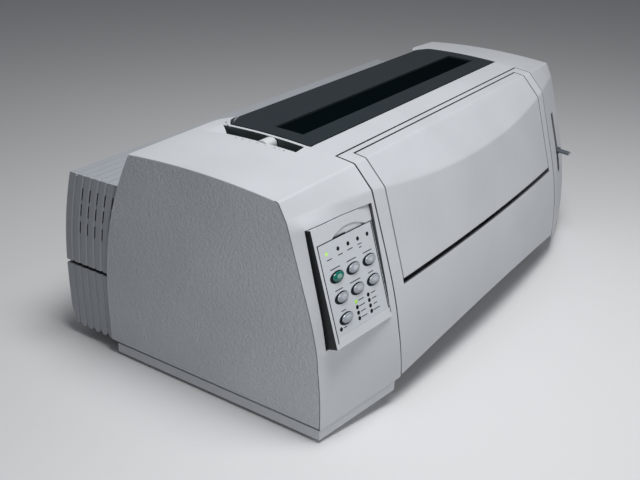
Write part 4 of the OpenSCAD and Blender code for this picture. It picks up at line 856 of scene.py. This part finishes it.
# === Front cover and door =============================================
# The front cover is a bowed frame snapped into the casing, and the door is a panel of its upper
# half that swings up on two pins. A finger gap is left open under the door.
cover_wall, cover_soften, cover_foot, cover_rise = 2.6, 1.1, 25.0, 15.0
door_half, door_low, door_rise, door_gap, door_back = 181.0, 119.0, 3.0, 5.0, 42.6
# stations from under the kink to behind the crease, with the steps between them
below_kink = 199
over_crease = (below_kink, 8, 207, 8, 224, 8, 232, 4)


def arch(x, low, rise):
    """Height of an edge that is arched like a parabola."""
    return low + rise * (1 - np.square(x / cover_half))


def side_to_side(u, inner, outer):
    """Distances from the middle for a parameter from -1 to 1: inner at 0.9, and outer at 1."""
    return np.where(np.abs(u) <= 0.9, u / 0.9 * inner,
        np.sign(u) * (inner + (outer - inner) * (np.abs(u) - 0.9) / 0.1))


def cover_grid():
    """The cover's frame: columns from side to side, rows from its arched bottom edge over the door opening
    to its top seam. The cells of the door opening are left out."""
    beside_door, over_door = 8, 72
    u = spread(-1, beside_door, -0.9, over_door, 0.9, beside_door, 1)
    low_share = np.linspace(0, 1, 24)
    door_s, top_s = station_back(0, door_back + seam), station_back(0, cover_back)
    beside = spread(door_low, 20, *over_crease, door_s)[1:]
    above = spread(door_s, 3, top_s)[1:]
    nominal = np.concatenate([cover_foot + (door_low - cover_foot) * low_share, beside, above])
    x = side_to_side(u, door_half + seam, cover_side(nominal)[:, None])
    low_edge, door_edge = arch(x, cover_foot, cover_rise), arch(x, door_low - door_gap, door_rise)
    s = np.repeat(nominal[:, None], len(u), axis=1)
    a, b = len(low_share), len(low_share) + len(beside)
    s[:a] = low_edge[:a] + (door_edge[:a] - low_edge[:a]) * low_share[:, None]
    blend = np.clip((below_kink - nominal[a:b]) / (below_kink - door_low), 0, 1)[:, None]
    s[a:b] += (door_edge[a:b] - door_low) * blend
    keep = np.ones((len(nominal) - 1, len(u) - 1), bool)
    keep[a - 1:b - 1, beside_door:-beside_door] = False
    return skin(x, s, cover_soften), keep


cover_plastic = grained("cover_plastic", pale, 0.46, 0.0009, 0.4)
cover = sheet_piece("front_cover.finished", [(*cover_grid(), 0)], cover_wall, 0.3,
    [cover_plastic, painted_shade_plastic])
handed_over(cover, "chassis", "cover_plastic", "front_cover")

rows_up = spread(*over_crease, station_back(0, door_back))[1:, None]
x = spread(-door_half, 76, door_half)[None]
start = arch(x, door_low, door_rise)
stations = np.concatenate([start + (below_kink - start) * spread(0, 24, 1)[:, None],
    np.repeat(rows_up, x.shape[1], axis=1)])
door = sheet_piece("front_door.finished", [(skin(x, stations, cover_soften), None, 0)], cover_wall, 0.4,
    [cover_plastic])
handed_over(door, "door", "cover_plastic", "front_door")

# === Ribbon lid =======================================================
# A charcoal moulding over the ribbon, hinged at its rear. A smoked black window is let into it
# from below, a little under its surface.
window_half, window_front, window_back = 182.0, 99.8, 132.7
window_rim, window_thick = 3.0, 2.0


def lid_half_at(y):
    """Half width of the lid, which runs in over its rear corners."""
    return lid_half - np.clip((y - (lid_back - chamfer_y)) / chamfer_y, 0, 1) * chamfer_x


def inward(points):
    """Unit normals into the form, from a grid of points whose rows run up and columns to +X."""
    normal = np.cross(np.gradient(points, axis=0), np.gradient(points, axis=1))
    return normal / np.linalg.norm(normal, axis=-1, keepdims=True)


y = spread(lid_front, 6, window_front, 8, window_back, 10, lid_back - chamfer_y, 5, lid_back)[:, None]
x = side_to_side(spread(-1, 5, -0.9, 60, 0.9, 5, 1)[None], np.minimum(window_half, lid_half_at(y) - 4),
    lid_half_at(y))
keep = np.ones((x.shape[0] - 1, x.shape[1] - 1), bool)
keep[6:14, 5:65] = False
lid_plastic = grained("lid_plastic", (0.020, 0.028, 0.034), 0.42, 0.0013, 0.9, shine=0.3, relief=0.2)
lid = sheet_piece("ribbon_lid.finished", [(skin(x, station_back(x, y)), keep, 0)], cover_wall, 0.5,
    [lid_plastic])
handed_over(lid, "lid", "charcoal_plastic", "ribbon_lid")

y = spread(window_front - window_rim, 12, window_back + window_rim)[:, None]
x = spread(-window_half - window_rim, 60, window_half + window_rim)[None]
pane = skin(x, station_back(x, y))
pane = pane + inward(pane) * cover_wall
window_black = grained("window_black", (0.002, 0.004, 0.005), 0.3, 0.004, 0.02, shine=0.0)
window = sheet_piece("lid_window.finished", [(pane, None, 0)], window_thick, 0.3, [window_black])
handed_over(window, "lid", "window", "lid_window")

# === Operator panel ===================================================
# A flat housing let into the left column, tilted towards the user. Its left wall stands open to a
# channel, and is painted dark as the channel's shade. A printed overlay covers it, with seven sprung keys and
# fourteen lamps.
key_columns, key_rows = (-56.5, -34.8, -12.4), (-31.1, -49.8, -68.7)
key_spots = [(u, v) for v in key_rows[:2] for u in key_columns] + [(key_columns[0], key_rows[2])]
key_names = ["start_key"] + ["key_%d" % number for number in range(2, 8)]
lamp_rows = (-60.2, -65.3, -70.5, -75.6)


def on_panel(points):
    """Points given on the panel, across, up and out of it, in the printer's own millimetres."""
    return panel_origin + np.asarray(points, float) @ panel_axes


housing_plastic = grained("housing_plastic", pale, 0.48, 0.0009, 0.35)
# painted shade: the housing's left wall and its back take this dark colour
channel_painted_shade = grained("channel_painted_shade", (0.012, 0.016, 0.018), 0.6, 0.0011, 0.4)
overlay_film = grained("overlay_film", (0.54, 0.57, 0.61), 0.38, 0.0005, 0.25, tint=0.02)
dressed("panel_housing", (housing_plastic, channel_painted_shade), 0.35, slot="casing_plastic",
    zone=lambda at, facing: (facing @ panel_axes[0] < -0.7) | (facing @ panel_axes[2] < -0.3))
dressed("panel_overlay", overlay_film, 0.1, slot="panel_film")
dressed("panel_board", board_green, 0.15)


turn = np.linspace(0, 2 * np.pi, 49)


def key_cap(name, spot, materials):
    """A key: an oval skirt that turns over into a domed cap. Half widths shrink with the cosine of an angle
    and the height grows with its sine, so that the cap is steep at its rim and nearly flat on top. Its
    bottom and its lowest rows have the second material, a dark painted reflection on the steep rim."""
    sunk, dome, flat, skirt_rows = 8.0, 2.6, 0.22, 8
    rise = np.radians(spread(0, 12, 88))[:, None]
    shrink = np.concatenate([np.ones((6, 1)), flat + (1 - flat) * np.cos(rise)[1:] ** 0.9])
    height = np.concatenate([spread(-sunk, 5, 0)[:, None], dome * np.sin(rise)[1:]])
    grid = np.stack(np.broadcast_arrays(spot[0] + 7.75 * shrink * np.cos(turn),
        spot[1] + 4.4 * shrink * np.sin(turn), height), axis=-1)
    rows, ring = grid.shape[:2]
    last = (rows - 1) * ring
    faces = quads(rows, ring).tolist() + [range(last, last + ring - 1), range(ring - 2, -1, -1)]
    number = np.zeros(len(faces))
    number[:skirt_rows * (ring - 1)] = number[-1] = 1
    return finish_mesh(built(name, on_panel(grid), faces, number, materials, 2e-6, turned_out), 50)


def key_painted_shadow_ring(name, spot):
    """A painted shadow round a key: a black ring drawn further out at its lower left, as a flat band of the
    overlay between two ovals."""
    oval = np.stack([np.cos(turn), np.sin(turn), 0 * turn], axis=-1)
    rings = np.stack([oval * [8.0, 4.6, 0] + [0, 0, 0.02], oval * [9.2, 5.1, 0] + [-1.1, -0.3, 0.02]])
    rings[..., :2] += spot
    ring = sheet_piece(name, [(on_panel(rings), None, 0)], 0.06, 0.005, [ink_and_painted_shadow], even=False)
    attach(ring, "chassis")


key_grey = grained("key_grey", (0.33, 0.36, 0.40), 0.2, 0.003, 0.03, tint=0.02, shine=0.7)
key_teal = grained("key_teal", (0.004, 0.155, 0.120), 0.18, 0.003, 0.03, tint=0.02, shine=0.7)
# painted reflection: the dark that the keys' steep rims show
key_skirt = grained("key_skirt", (0.010, 0.013, 0.015), 0.4, 0.003, 0.05, shine=0.05)
for name, spot in zip(key_names, key_spots):
    slot, plastic = ("key_teal", key_teal) if name == "start_key" else ("key_grey", key_grey)
    cap = key_cap(name + ".finished", spot, (plastic, key_skirt))
    handed_over(cap, body_of[name], slot, name)
    key_painted_shadow_ring(name + "_ring", spot)


def glowing(name, colour, strength):
    """A lamp's clear lens with its light on: it shines in its own colour, brightest where it faces one."""
    material, tree, shader = begun(name, Emission_Color=(*colour, 1), Emission_Strength=strength,
        Roughness=0.15)
    facing = tree.nodes.new("ShaderNodeLayerWeight").outputs["Facing"]
    coloured_by(tree, facing, shader, ([min(1, c * 1.5 + 0.1) for c in colour], colour))
    return material


dressed("lamps_lit", glowing("lamp_lime", (0.20, 0.44, 0.01), 0.28), 0.2)
lens_dark = grained("lamp_dark", (0.006, 0.007, 0.008), 0.3, 0.003, 0.03, shine=0.04)
dressed("lamps_dark", lens_dark, 0.2)

# the dashes are (middle across, middle up, half length), in place of words
dashes = [(-62, -14.5, 3.2), (-47.5, -14.5, 3.0), (-34.5, -14.2, 3.6), (-21, -14, 2.8), (-21, -17, 1.8)]
dashes += [(u - 1, v + 7.6, 6.4) for u, v in key_spots[:3]]
dashes += [(u - 2, v + 7.4, half) for (u, v), half in zip(key_spots[3:], (5.0, 7.2, 3.6, 3.0))]
dashes += [(-34.4, v, half) for v, half in zip(lamp_rows, (3.8, 4.2, 3.4, 4.0))]
dashes += [(-17, v, half) for v, half in zip(lamp_rows, (3.0, 3.2, 2.4, 4.6))]
dashes = np.array(dashes + [(-61, lamp_rows[3], 2.2)])
printed("panel_dashes", on_panel(dashes * [1, 1, 0]), panel_axes[0] * dashes[:, 2:], panel_axes[1] * 0.42,
    panel_axes[2])
# borders are (left, bottom, right, top) on the panel
left, bottom, right, top = np.array([(-73.6, -86.5, -72.5, 1.0), (-1.4, -81.5, -0.2, 0.6),
    (0.3, -86.5, 1.3, 1.2), (-73.6, 0.0, -0.5, 0.9), (-53, 0.3, -36, 1.7)]).T[..., None]
printed("panel_borders", on_panel(np.hstack([(left + right) / 2, (bottom + top) / 2, 0 * top])),
    panel_axes[0] * (right - left) / 2, panel_axes[1] * (top - bottom) / 2, panel_axes[2])

# === Levers ===========================================================
# The paper lever comes out of a slot in the right column, with a pale finger tab. The gap lever's
# knob is white and stands in the trench beside the lid.
lever_grey = grained("lever_grey", (0.10, 0.12, 0.14), 0.42, 0.0011, 0.4)
lever_pale = grained("lever_pale", (0.52, 0.55, 0.58), 0.42, 0.0011, 0.4)
tab_long = 4.5
tab_edge = (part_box("paper_lever")[0].y - datum[1]) * 1000 + tab_long
dressed("paper_lever", (lever_grey, lever_pale), 0.5, lambda at, facing: at[:, 1] < tab_edge)


def round_knob(mesh):
    """Rounds the knob's upper front and rear edges over, so that a finger slides across it."""
    top = max(vert.co.z for vert in mesh.verts)
    ridges = [e for e in mesh.edges if abs(e.verts[0].co.x - e.verts[1].co.x) > 0.003
        and all(vert.co.z > top - 1e-5 for vert in e.verts) and abs(e.verts[0].co.y - e.verts[1].co.y) < 1e-5]
    bmesh.ops.bevel(mesh, geom=ridges, offset=0.0055, segments=8, profile=0.5, affect="EDGES")


knob_white = grained("knob_white", (0.66, 0.68, 0.70), 0.4, 0.0011, 0.3)
dressed("gap_lever", knob_white, 0.8, reshape=round_knob, slot="lever_white")
